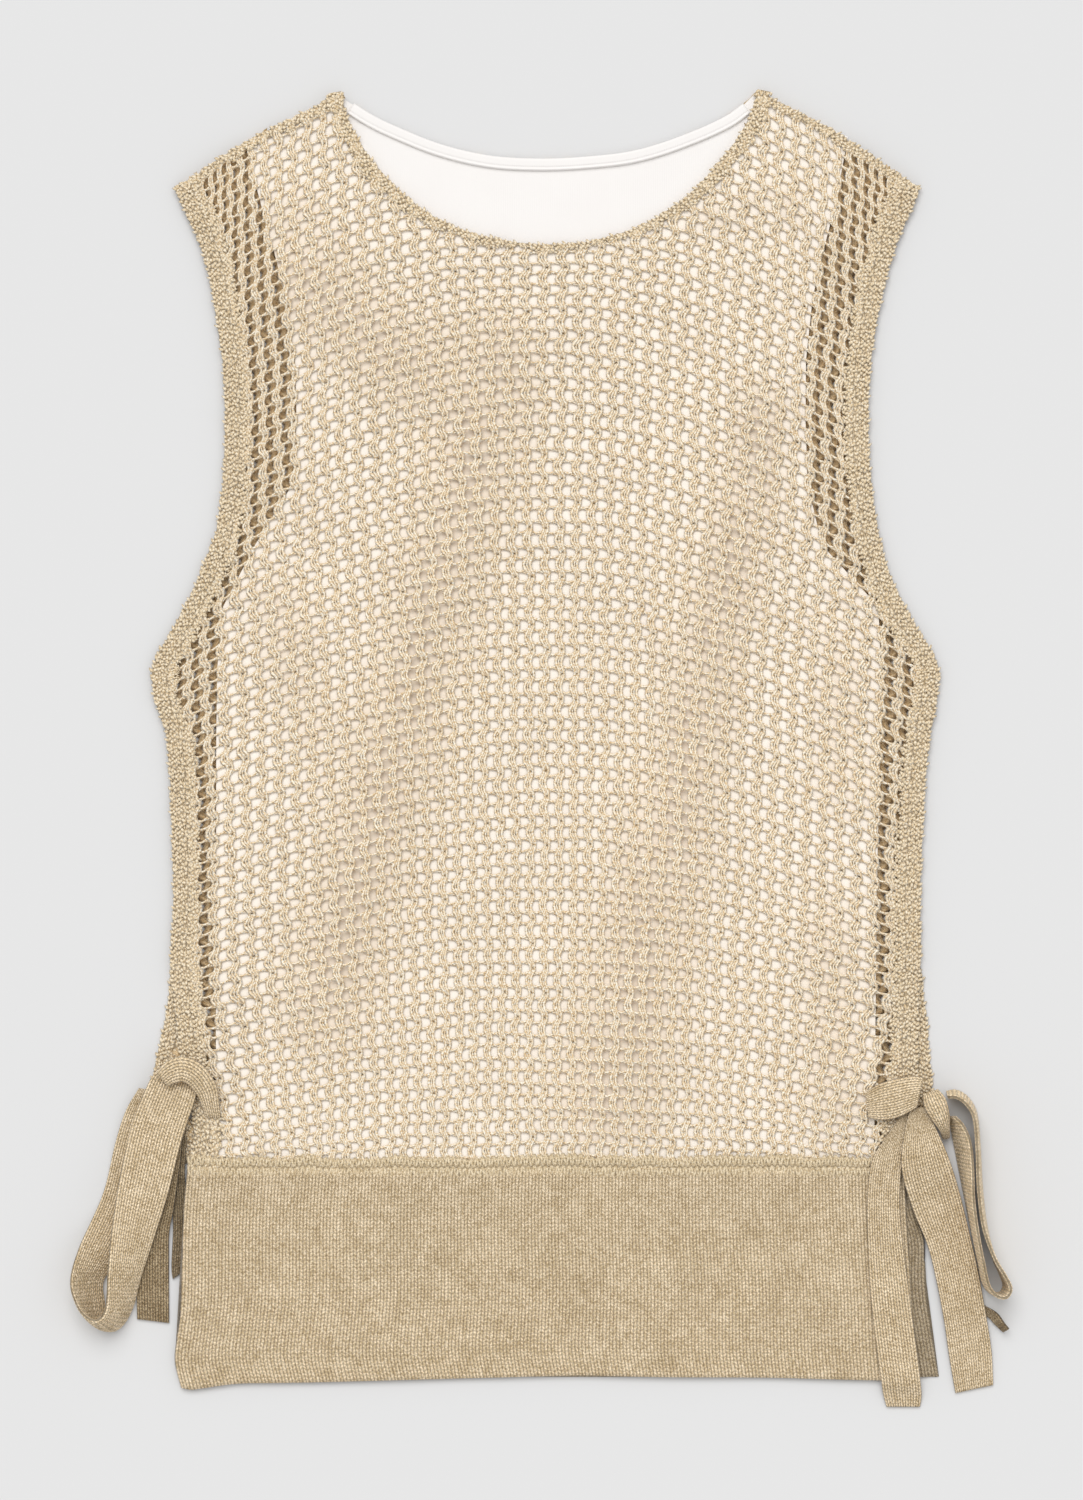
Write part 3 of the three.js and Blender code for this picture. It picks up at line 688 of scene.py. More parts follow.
class Rim:
    """Outline of a flat solid's upper face, walked with the cloth on the left."""

    FLAT = 0.5              # upward part of the normal above which a face counts as flat

    def __init__(self, node: str) -> None:
        """Chain the edges where the upper face meets the walls.

        Args:
            node: The solid's name.
        """
        copy = solid_copy(node)
        ways = {}
        for edge in copy.edges:
            tilts = sorted(face.normal.z for face in edge.link_faces)
            if len(tilts) == 2 and tilts[1] > self.FLAT and abs(tilts[0]) < self.FLAT:
                a, b = edge.verts
                ways.setdefault(a.index, []).append(b.index)
                ways.setdefault(b.index, []).append(a.index)
        places = {v.index: (v.co.x, v.co.y) for v in copy.verts}
        copy.free()
        start = next(iter(ways))
        chain = [start, ways[start][0]]
        while True:
            onward = [i for i in ways[chain[-1]] if i != chain[-2]][0]
            if onward == start:
                break
            chain.append(onward)
        ring = np.array([places[i] for i in chain])
        nexts = np.roll(ring, -1, axis=0)
        turning = (ring[:, 0] * nexts[:, 1] - ring[:, 1] * nexts[:, 0]).sum()
        self.ring = ring if turning > 0 else ring[::-1]
        self.area = abs(float(turning)) / 2

    def between(self, start: Vector, end: Vector) -> Line:
        """Take the stretch of outline between the corners nearest two places.

        Args:
            start: Place near the first corner.
            end: Place near the last.

        Returns:
            The stretch, walked with the cloth on its left.
        """
        gaps = [np.hypot(self.ring[:, 0] - p.x, self.ring[:, 1] - p.y) for p in (start, end)]
        first, last = (int(np.argmin(gap)) for gap in gaps)
        if last <= first:
            last += len(self.ring)
        return Line(self.ring[[i % len(self.ring) for i in range(first, last + 1)]])


# ------------------------------------------------------------------------------------------------
# Meshes
# ------------------------------------------------------------------------------------------------


def add_piece(name: str, mesh: bmesh.types.BMesh, material: bpy.types.Material,
              smooth: bool = True) -> bpy.types.Object:
    """Turn a bmesh into a dressed piece that rides on the body.

    Args:
        name: The piece's name.
        mesh: Its mesh, which is freed.
        material: Its finish.
        smooth: Whether its faces are shaded smooth.

    Returns:
        The piece.
    """
    data = bpy.data.meshes.new(name)
    mesh.to_mesh(data)
    mesh.free()
    write_points(data, read_points(data))
    if smooth:
        data.shade_smooth()
    else:
        data.shade_flat()
    piece = bpy.data.objects.new(name, data)
    bpy.context.scene.collection.objects.link(piece)
    data.materials.append(material)
    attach(piece, "root")
    triangles = sum(len(face.vertices) - 2 for face in data.polygons)
    LOG.info("%s: %d triangles", name, triangles)
    return piece


def read_points(data: bpy.types.Mesh) -> Points:
    """All of a mesh's points, one row each."""
    flat = np.empty(len(data.vertices) * 3, np.float32)
    data.vertices.foreach_get("co", flat)
    return flat.reshape(-1, 3).astype(float)


def write_points(data: bpy.types.Mesh, points: Points) -> None:
    """Put a mesh's points back, none of them below the floor."""
    points[:, 2] = np.maximum(points[:, 2], 0.0)
    data.vertices.foreach_set("co", points.astype(np.float32).ravel())
    data.update()


def wrapped_wall(around: int, along: int, wrap: Wrap, cloth: Wrap | None = None,
                 capped: bool = True) -> bmesh.types.BMesh:
    """A closed wall: a grid whose columns go round the section and whose rows go along.

    Args:
        around: Faces round the section.
        along: Faces along the piece.
        wrap: Places for shares round the section and along the piece.
        cloth: Metres across and along the cloth for the same shares.
        capped: Whether the two ends are filled.

    Returns:
        The mesh, seams merged and ends closed, facing out.
    """
    mesh = bmesh.new()
    bmesh.ops.create_grid(mesh, x_segments=around, y_segments=along, size=0.5)
    data = bpy.data.meshes.new("wall")
    mesh.to_mesh(data)
    grid = read_points(data)
    share, reach = grid[:, 0] + 0.5, grid[:, 1] + 0.5
    write_points(data, np.column_stack(wrap(share, reach)))
    across, length, _ = (cloth or wrap)(share, reach)
    corners = np.empty(len(data.loops), np.int32)
    data.loops.foreach_get("vertex_index", corners)
    layer = data.uv_layers.new(name=CLOTH_MAP)
    layer.data.foreach_set("uv", np.column_stack([across, length])[corners].ravel())
    mesh.clear()
    mesh.from_mesh(data)
    bpy.data.meshes.remove(data)
    bmesh.ops.remove_doubles(mesh, verts=mesh.verts, dist=2 * SAME_POINT)
    if capped:
        close_ends(mesh)
    bmesh.ops.recalc_face_normals(mesh, faces=mesh.faces)
    return mesh


def close_ends(mesh: bmesh.types.BMesh) -> None:
    """Fill every open loop of edges and cut the large faces into triangles.

    Args:
        mesh: The mesh, which is changed.
    """
    rims = [edge for edge in mesh.edges if edge.is_boundary]
    if not rims:
        return
    made = bmesh.ops.holes_fill(mesh, edges=rims, sides=0)["faces"]
    bmesh.ops.triangulate(mesh, faces=[face for face in made if len(face.verts) > 4])


@dataclass(frozen=True)
class Yarn:
    """A stretch of yarn in a repeat: rows of x, y, z and radius in millimetres.

    Its section has a few sides and is flattened to a share of its height. A yarn that carries
    on into the next tile says how far onward that tile lies.
    """

    line: Rows
    sides: int = 3
    flat: float = 1.0
    onward: tuple[float, float] | None = None

    def lay(self, mesh: bmesh.types.BMesh, tags: object, tag: int) -> int:
        """Sweep the yarn.

        Args:
            mesh: Mesh to add to.
            tags: Face layer that numbers the lengths between bends.
            tag: First number to use.

        Returns:
            The next free number.
        """
        points = [Vector(row[:3]) * MM for row in self.line]
        places = [self._ring_matrix(points, k, row[3] * MM) for k, row in enumerate(self.line)]
        ring = bmesh.ops.create_circle(mesh, segments=self.sides, radius=1.0, matrix=places[0])
        edges = list({edge for vert in ring["verts"] for edge in vert.link_edges})
        if self.onward is None:
            self._cap(mesh, edges, tags, tag)
        for here, there in zip(places, places[1:]):
            made = bmesh.ops.extrude_edge_only(mesh, edges=edges)["geom"]
            verts = [part for part in made if isinstance(part, bmesh.types.BMVert)]
            edges = [part for part in made if isinstance(part, bmesh.types.BMEdge)]
            for face in (part for part in made if isinstance(part, bmesh.types.BMFace)):
                face[tags] = tag
            bmesh.ops.transform(mesh, matrix=there @ here.inverted(), verts=verts)
            tag += 1
        if self.onward is None:
            self._cap(mesh, edges, tags, tag - 1)
        return tag

    @staticmethod
    def _cap(mesh: bmesh.types.BMesh, edges: list, tags: object, tag: int) -> None:
        """Close one end."""
        made = bmesh.ops.contextual_create(mesh, geom=edges)["faces"]
        for face in made:
            face[tags] = tag

    def _ring_matrix(self, points: list[Vector], k: int, radius: float) -> Matrix:
        """Find the place, turn and size of the section at one bend, with a flat side up.

        Args:
            points: The yarn's bends.
            k: Which of them.
            radius: Half the section's width, in metres.

        Returns:
            The matrix that puts a unit circle there.
        """
        last = len(points) - 1
        ahead = points[min(k + 1, last)]
        behind = points[max(k - 1, 0)]
        if self.onward is not None and k in (0, last):
            step = Vector((*self.onward, 0)) * MM
            ahead, behind = points[1], points[-2] - step
        along = (ahead - behind).normalized()
        side = along.cross(Vector((0, 0, 1))).normalized()
        upward = side.cross(along)
        turn = Matrix((-side, -upward, along)).transposed().to_4x4()
        section = Matrix.Diagonal((radius, radius * self.flat, radius, 1.0))
        return Matrix.Translation(points[k]) @ turn @ section


@dataclass
class Repeat:
    """A repeat of yarn that tiles the plane, laid out by arrays and then drawn on to the cloth."""

    width: float
    height: float
    yarns: tuple[Yarn, ...]

    def tiled(self, columns: int, rows: int) -> tuple[bpy.types.Mesh, Points]:
        """Repeat the tile.

        Args:
            columns: Tiles across.
            rows: Tiles up.

        Returns:
            The mesh, with its corner at the origin, and each face's number of yarn length.
        """
        mesh = bmesh.new()
        tags = mesh.faces.layers.int.new("length")
        count = 0
        for yarn in self.yarns:
            count = yarn.lay(mesh, tags, count)
        bmesh.ops.recalc_face_normals(mesh, faces=mesh.faces)
        data = bpy.data.meshes.new("repeat")
        mesh.to_mesh(data)
        per_tile = len(data.polygons)
        mesh.free()
        stand = bpy.data.objects.new("repeat", data)
        bpy.context.scene.collection.objects.link(stand)
        for amount, offset in ((columns, (self.width, 0, 0)), (rows, (0, self.height, 0))):
            array = stand.modifiers.new("tiles", "ARRAY")
            array.count = amount
            array.use_relative_offset = False
            array.use_constant_offset = True
            array.constant_offset_displace = Vector(offset) * MM
        bpy.context.view_layer.update()
        graph = bpy.context.evaluated_depsgraph_get()
        full = bpy.data.meshes.new_from_object(stand.evaluated_get(graph))
        bpy.data.objects.remove(stand)
        bpy.data.meshes.remove(data)
        lengths = np.empty(len(full.polygons), np.int32)
        full.attributes["length"].data.foreach_get("value", lengths)
        tile = np.arange(len(lengths)) // per_tile
        return full, tile * count + lengths


def laid_yarn(name: str, full: bpy.types.Mesh, lengths: Points, drawn: Points,
              keep: Callable[[Points, Points], Points],
              material: bpy.types.Material) -> bpy.types.Object:
    """Draw a tiled repeat on to the cloth and drop the lengths of yarn that lie outside it.

    Args:
        name: The piece's name.
        full: The tiled mesh, which is removed.
        lengths: Each face's number of yarn length.
        drawn: New places of the mesh's points.
        keep: Whether a length of yarn stays, from the place of its middle.
        material: Finish of the yarn.

    Returns:
        The piece.
    """
    level = read_points(full)[:, 2]
    rise = (level - level.min()) / (level.max() - level.min())
    full.attributes.new(RISE_MAP, "FLOAT", "POINT").data.foreach_set("value", rise)
    write_points(full, drawn)
    corners = np.empty(len(full.loops), np.int32)
    full.loops.foreach_get("vertex_index", corners)
    totals = np.empty(len(full.polygons), np.int32)
    full.polygons.foreach_get("loop_total", totals)
    owner = np.repeat(lengths, totals)
    amount = np.maximum(np.bincount(owner), 1)
    middle_x = np.bincount(owner, drawn[corners, 0]) / amount
    middle_y = np.bincount(owner, drawn[corners, 1]) / amount
    kept = keep(middle_x, middle_y)
    mesh = bmesh.new()
    mesh.from_mesh(full)
    bpy.data.meshes.remove(full)
    dropped = ~kept[lengths]
    faces = [face for face, drop in zip(mesh.faces, dropped) if drop]
    bmesh.ops.delete(mesh, geom=faces, context="FACES")
    bmesh.ops.remove_doubles(mesh, verts=mesh.verts, dist=SAME_POINT)
    close_ends(mesh)
    return add_piece(name, mesh, material)


@dataclass(frozen=True)
class Section:
    """Counts of faces over the upper and lower side of a flat wall's section."""

    upper: int
    lower: int

    @property
    def around(self) -> int:
        """Faces round the whole section, its two edges included."""
        return self.upper + self.lower + 2

    def read(self, share: Points) -> tuple[Points, Points]:
        """Where shares round the section lie.

        Args:
            share: Shares of the way round.

        Returns:
            The place across the wall from 0 to 1, and whether it is on the upper side.
        """
        k = np.rint(share * self.around)
        k = np.where(k >= self.around, 0, k)
        top = k <= self.upper
        across = np.where(top, k / self.upper, (self.upper + 1 + self.lower - k) / self.lower)
        return across, top


# ------------------------------------------------------------------------------------------------
# Net
# ------------------------------------------------------------------------------------------------

PITCH = 7.75      # millimetres between holes along a row
ROW = 6.1         # between rows of holes


def mirrored(line: Sequence[tuple], about: float) -> Rows:
    """A yarn's rows mirrored left to right about a place."""
    return tuple((2 * about - x, y, z, radius) for x, y, z, radius in line)


@dataclass
class NetStitch:
    """The net's repeat: upright pillars that sway from row to row, with strands crossed between.

    A pillar has two legs beside a middle strand that dips between its stitches, and a flat core
    below them that fills the pillar. Their rows give the height up the repeat, how far the strand
    stands apart from the middle, its lift and its radius. Two strands cross from each pillar to the
    next at each of two heights. Their rows give place across, height over the crossing and lift.
    """

    flat: float = 0.50
    core_flat: float = 0.30
    sway: float = -2.1
    cross: float = 0.67
    legs: Rows = ((0.0, 1.02, 0.20, 0.88), (1.5, 1.08, 0.30, 0.90), (3.05, 1.06, 0.02, 0.78),
                   (4.6, 1.08, 0.30, 0.90), (6.1, 1.06, 0.20, 0.88), (7.6, 1.28, 0.30, 0.94),
                   (9.15, 1.36, 0.04, 0.82), (10.7, 1.28, 0.30, 0.94), (12.2, 1.02, 0.20, 0.88))
    middle: Rows = ((0.0, 0.0, 0.36, 0.66), (2.0, 0.0, 0.16, 0.56), (3.05, 0.0, -0.40, 0.50),
                    (4.1, 0.0, 0.16, 0.56), (6.1, 0.0, 0.36, 0.68), (7.9, 0.0, 0.22, 0.62),
                    (9.15, 0.0, 0.10, 0.46), (10.4, 0.0, 0.22, 0.62), (12.2, 0.0, 0.36, 0.66))
    core: Rows = ((0.0, 0.0, -0.40, 1.00), (3.05, 0.0, -0.42, 1.00), (6.1, 0.0, -0.40, 1.00),
                  (9.15, 0.0, -0.42, 1.20), (12.2, 0.0, -0.40, 1.00))
    rising: Rows = ((0.6, -1.3, -0.24), (2.7, -0.12, 0.04), (5.05, 0.34, 0.18), (7.15, 1.3, -0.2))
    falling: Rows = ((0.6, 1.3, -0.20), (2.7, 0.16, 0.18), (5.05, -0.34, 0.04),
                     (7.15, -1.3, -0.24))
    crossings: tuple[float, float] = (0.20, 5.90)
    plain_flat: float = 0.42

    def pillar(self, rows: Sequence[tuple], side: float) -> Yarn:
        """One strand of a pillar, on the side that the sign gives."""
        line = self.swayed([(side * apart, y, z, r) for y, apart, z, r in rows])
        return Yarn(line, flat=self.flat, onward=(0.0, 2 * ROW))

    def crossed(self, bends: Sequence[tuple], height: float) -> Yarn:
        """One strand from a pillar to the next at a height."""
        line = self.swayed([(x, height + y, z, self.cross) for x, y, z in bends])
        return Yarn(line, flat=self.flat)

    def swayed(self, line: Sequence[tuple]) -> Rows:
        """Move a strand's rows over as the cloth sways from one row of holes to the next.

        Args:
            line: Rows of x, y, z and radius.

        Returns:
            The same rows, moved.
        """
        def over(y: float) -> float:
            """How far the cloth has swayed at a height."""
            return self.sway * (0.5 - 0.5 * math.cos(math.pi * (y - ROW / 2) / ROW))
        return tuple((x + over(y), y, z, radius) for x, y, z, radius in line)

    def full(self) -> Repeat:
        """Put all the strands of the repeat together.

        Returns:
            The repeat, one pillar wide and two rows of holes high.
        """
        core = Yarn(self.swayed([(x, y, z, r) for y, x, z, r in self.core]),
                    flat=self.core_flat, onward=(0.0, 2 * ROW))
        yarns = [core, self.pillar(self.legs, -1.0), self.pillar(self.middle, 0.0),
                 self.pillar(self.legs, 1.0)]
        for height in self.crossings:
            yarns += [self.crossed(self.rising, height), self.crossed(self.falling, height)]
        return Repeat(PITCH, 2 * ROW, tuple(yarns))

    def plain(self) -> Repeat:
        """Make a sparer repeat for cloth that lies underneath.

        Returns:
            The repeat, of two thick strands that zigzag past each other.
        """
        bends = ((0.0, 0.0, 0.25, 2.2), (1.3, 3.05, 0.1, 2.3))
        right = (*bends, *((x + PITCH / 2, y + ROW, -z, r) for x, y, z, r in bends),
                 (PITCH, 2 * ROW, 0.25, 2.2))
        left = mirrored([(x, y, -z, r) for x, y, z, r in right], PITCH / 2)
        yarns = (Yarn(right, flat=self.plain_flat, onward=(PITCH, 2 * ROW)),
                 Yarn(left, flat=self.plain_flat, onward=(-PITCH, 2 * ROW)))
        return Repeat(PITCH, 2 * ROW, yarns)


class Drape:
    """How the net's even repeat is drawn on to the body: wider at the neck, courses arched.

    The tables give, at levels above the hem in millimetres, the pitch of the columns at the centre
    and at the sides, and how far the courses arch down towards the sides.
    """

    LEVELS = (60, 110, 150, 220, 300, 380, 460, 540, 600, 650, 720)
    MIDDLE_PITCH = (7.0, 7.0, 7.0, 7.0, 7.4, 7.6, 8.4, 8.8, 9.5, 9.8, 10.0)
    SIDE_PITCH = (7.1, 7.1, 7.3, 8.2, 8.1, 8.2, 8.0, 7.6, 7.2, 7.0, 7.0)
    ARCH = (0.04, 0.06, 0.13, 0.17, 0.245, 0.305, 0.365, 0.42, 0.44, 0.45, 0.45)
    SIDE_COLUMN = 15.0      # columns out from the centre where the side pitch is reached
    GATHER = 8.0            # how far the neckline pulls the courses down at the centre
    GATHER_LEVEL = 515      # above the hem, where that pull starts
    GATHER_RISE = 70        # above that, where it is whole
    NECK_REACH = 62.0
    FINE_CELL = 5.0 * MM
    WIDE_CELL = 24 * MM
    SWELL_CELL = 17 * MM
    FINE_SHIFT = 0.45       # millimetres that single stitches stray
    WIDE_SHIFT = 0.9        # millimetres that patches of them stray
    SWELL = 0.2             # millimetres that the cloth swells

    def __init__(self, lie: Lie, seed: int) -> None:
        """Keep the panel's height and draw the noise that makes stitches uneven.

        Args:
            lie: Height of the panel's upper face.
            seed: First seed of the noise.
        """
        self.lie = lie
        self.fine_x = SoftNoise(seed, self.FINE_CELL)
        self.fine_y = SoftNoise(seed + 1, self.FINE_CELL)
        self.wide_x = SoftNoise(seed + 2, self.WIDE_CELL)
        self.wide_y = SoftNoise(seed + 3, self.WIDE_CELL)
        self.swell = SoftNoise(seed + 4, self.SWELL_CELL)

    def at(self, column: Points, level: Points, lift: Points) -> Points:
        """Draw points of the repeat on to the cloth.

        Args:
            column: Pitches out from the centre.
            level: Millimetres above the hem along the centre line.
            lift: Height over the middle of the cloth, in metres.

        Returns:
            Places in the frame.
        """
        middle = np.interp(level, self.LEVELS, self.MIDDLE_PITCH)
        side = np.interp(level, self.LEVELS, self.SIDE_PITCH)
        x = column * middle + (side - middle) * column ** 3 / (3 * self.SIDE_COLUMN ** 2)
        y = level - np.interp(level, self.LEVELS, self.ARCH) * x * x / 200
        near = np.clip((level - self.GATHER_LEVEL) / self.GATHER_RISE, 0, 1)
        y = y - self.GATHER * near * near * np.exp(-(x / self.NECK_REACH) ** 2)
        x, y = x * MM + SHIFT_X, y * MM + SHIFT_Y
        x0, y0 = x, y
        fine, wide = self.FINE_SHIFT, self.WIDE_SHIFT
        x = x + self.fine_x.at(x0, y0) * fine * MM + self.wide_x.at(x0, y0) * wide * MM
        y = y + self.fine_y.at(x0, y0) * fine * MM + self.wide_y.at(x0, y0) * wide * MM
        z = self.lie.at(x, y) - NET_WALL / 2 + lift + self.swell.at(x, y) * self.SWELL * MM
        return np.column_stack([x, y, z])


@dataclass
class Corners:
    """Where a body panel's edges turn, in millimetres off the centre front and above the hem."""

    seam_left: tuple[float, float] = (-179.8, 110)
    seam_right: tuple[float, float] = (179.3, 110)
    tip_left: tuple[float, float] = (-186.8, 601)
    tip_right: tuple[float, float] = (187.3, 601)
    neck_left: tuple[float, float] = (-102.3, 648.5)
    neck_right: tuple[float, float] = (105.3, 649.5)


class Panel:
    """A body panel's edges, each walked with the cloth on its left."""

    def __init__(self, node: str, corners: Corners) -> None:
        """Take the edges from the solid.

        Args:
            node: The solid's name.
            corners: Where its edges turn.
        """
        self.rim = Rim(node)
        self.lie = Lie(node)
        place = {name: local(*value) for name, value in vars(corners).items()}
        between = self.rim.between
        self.right = between(place["seam_right"], place["tip_right"])
        self.shoulder_right = between(place["tip_right"], place["neck_right"])
        self.neck = between(place["neck_right"], place["neck_left"])
        self.shoulder_left = between(place["neck_left"], place["tip_left"])
        self.left = between(place["tip_left"], place["seam_left"])
        self.hem = between(place["seam_left"], place["seam_right"])


@dataclass
class NetPanel:
    """One strip of a net panel between two columns.

    The offset moves the repeat, in columns across and millimetres up. The margins are how far from
    the sides, the neck and the other edges the net starts. Where a lining's outline is given, the
    yarn past it is marked as bare over a narrow blur, where it is painted in shade.
    """

    name: str
    panel: Panel
    drape: Drape
    stitch: Repeat
    first: int
    last: int
    rows: int = 48
    offset: tuple[float, float] = (0.0, 0.0)
    side_margin: float = 8.5 * MM
    neck_margin: float = 1.6 * MM
    edge_margin: float = 1.2 * MM
    lining: Line | None = None
    blur: float = 4 * MM

    def build(self, material: bpy.types.Material) -> bpy.types.Object:
        """Lay the yarn.

        Args:
            material: Finish of the yarn.

        Returns:
            The strip.
        """
        full, lengths = self.stitch.tiled(self.last - self.first, self.rows)
        points = read_points(full) / MM
        column = points[:, 0] / PITCH + self.first + self.offset[0]
        level = BAND_SEAM_HEIGHT / MM - 2 * ROW + points[:, 1] + self.offset[1]
        drawn = self.drape.at(column, level, points[:, 2] * MM)
        piece = laid_yarn(self.name, full, lengths, drawn, self._keep, material)
        points = read_points(piece.data)
        if self.lining is not None:
            bare = np.clip(0.5 - self.lining.inset(points[:, 0], points[:, 1]) / self.blur, 0, 1)
            layer = piece.data.attributes.new(BARE_MAP, "FLOAT", "POINT")
            layer.data.foreach_set("value", bare.astype(np.float32))
        return piece

    def area(self) -> float:
        """Add up the flat area of the net in the strip.

        Returns:
            Square metres.
        """
        columns = np.arange(self.first, self.last + 1, 0.5)
        levels = np.arange(0, 2 * self.rows * ROW, ROW / 2) + BAND_SEAM_HEIGHT / MM - 2 * ROW
        column, level = np.meshgrid(columns, levels, indexing="ij")
        drawn = self.drape.at(column.ravel(), level.ravel(), np.zeros(column.size))
        grid = drawn[:, :2].reshape(*column.shape, 2)
        right, up = grid[1:, :-1] - grid[:-1, :-1], grid[:-1, 1:] - grid[:-1, :-1]
        cells = np.abs(right[..., 0] * up[..., 1] - right[..., 1] * up[..., 0])
        kept = self._keep(grid[:-1, :-1, 0].ravel(), grid[:-1, :-1, 1].ravel())
        return float(cells.ravel()[kept].sum())

    def _keep(self, x: Points, y: Points) -> Points:
        """Tell the net's own yarn from what lies in a margin.

        Args:
            x: Places across, in metres.
            y: Places up, in metres.

        Returns:
            Whether yarn at each place belongs to the net.
        """
        panel = self.panel
        inside = (y > SEAM_Y - self.edge_margin) & (panel.left.inset(x, y) > self.side_margin)
        inside &= panel.right.inset(x, y) > self.side_margin
        inside &= panel.shoulder_left.inset(x, y) > self.edge_margin
        inside &= panel.shoulder_right.inset(x, y) > self.edge_margin
        return inside & (panel.neck.inset(x, y) > self.neck_margin)


# ------------------------------------------------------------------------------------------------
# Borders of plain knit
# ------------------------------------------------------------------------------------------------


@dataclass
class RoughStitch:
    """Plain stitches that have slipped out of line: short legs that slant by turns, unevenly.

    A leg slips by up to a share of its cell and leans by up to an angle more or less. Its half
    length is a share of the course, more or less.
    """

    wale: float = 2.7
    course: float = 2.35
    columns: int = 3
    rows: int = 5
    leg: float = 0.92
    slant: float = 0.66
    slip: float = 0.30
    lean: float = 0.35
    half: float = 0.62
    uneven: float = 0.12
    flat: float = 0.7
    seed: int = 31

    def repeat(self) -> Repeat:
        """Make a tile of legs with seeded slips.

        Returns:
            The tile.
        """
        draw = np.random.default_rng(self.seed)
        yarns = []
        for i in range(self.columns * 2):
            for j in range(self.rows):
                slip = draw.uniform(-1, 1, 4)
                x = (i + 0.5 + self.slip * slip[0]) * self.wale / 2
                y = (j + 0.5 + self.slip * slip[1] + 0.5 * (i // 2 % 2)) * self.course
                lean = self.slant * (1 if i % 2 else -1) + self.lean * slip[2]
                long = self.course * (self.half + self.uneven * slip[3])
                dx, dy = math.sin(lean) * long, math.cos(lean) * long
                yarns.append(Yarn(((x - dx, y - dy, -0.35, 0.34), (x, y, 0.25, self.leg),
                                   (x + dx, y + dy, -0.30, 0.38)), flat=self.flat))
        return Repeat(self.columns * self.wale, self.rows * self.course, tuple(yarns))


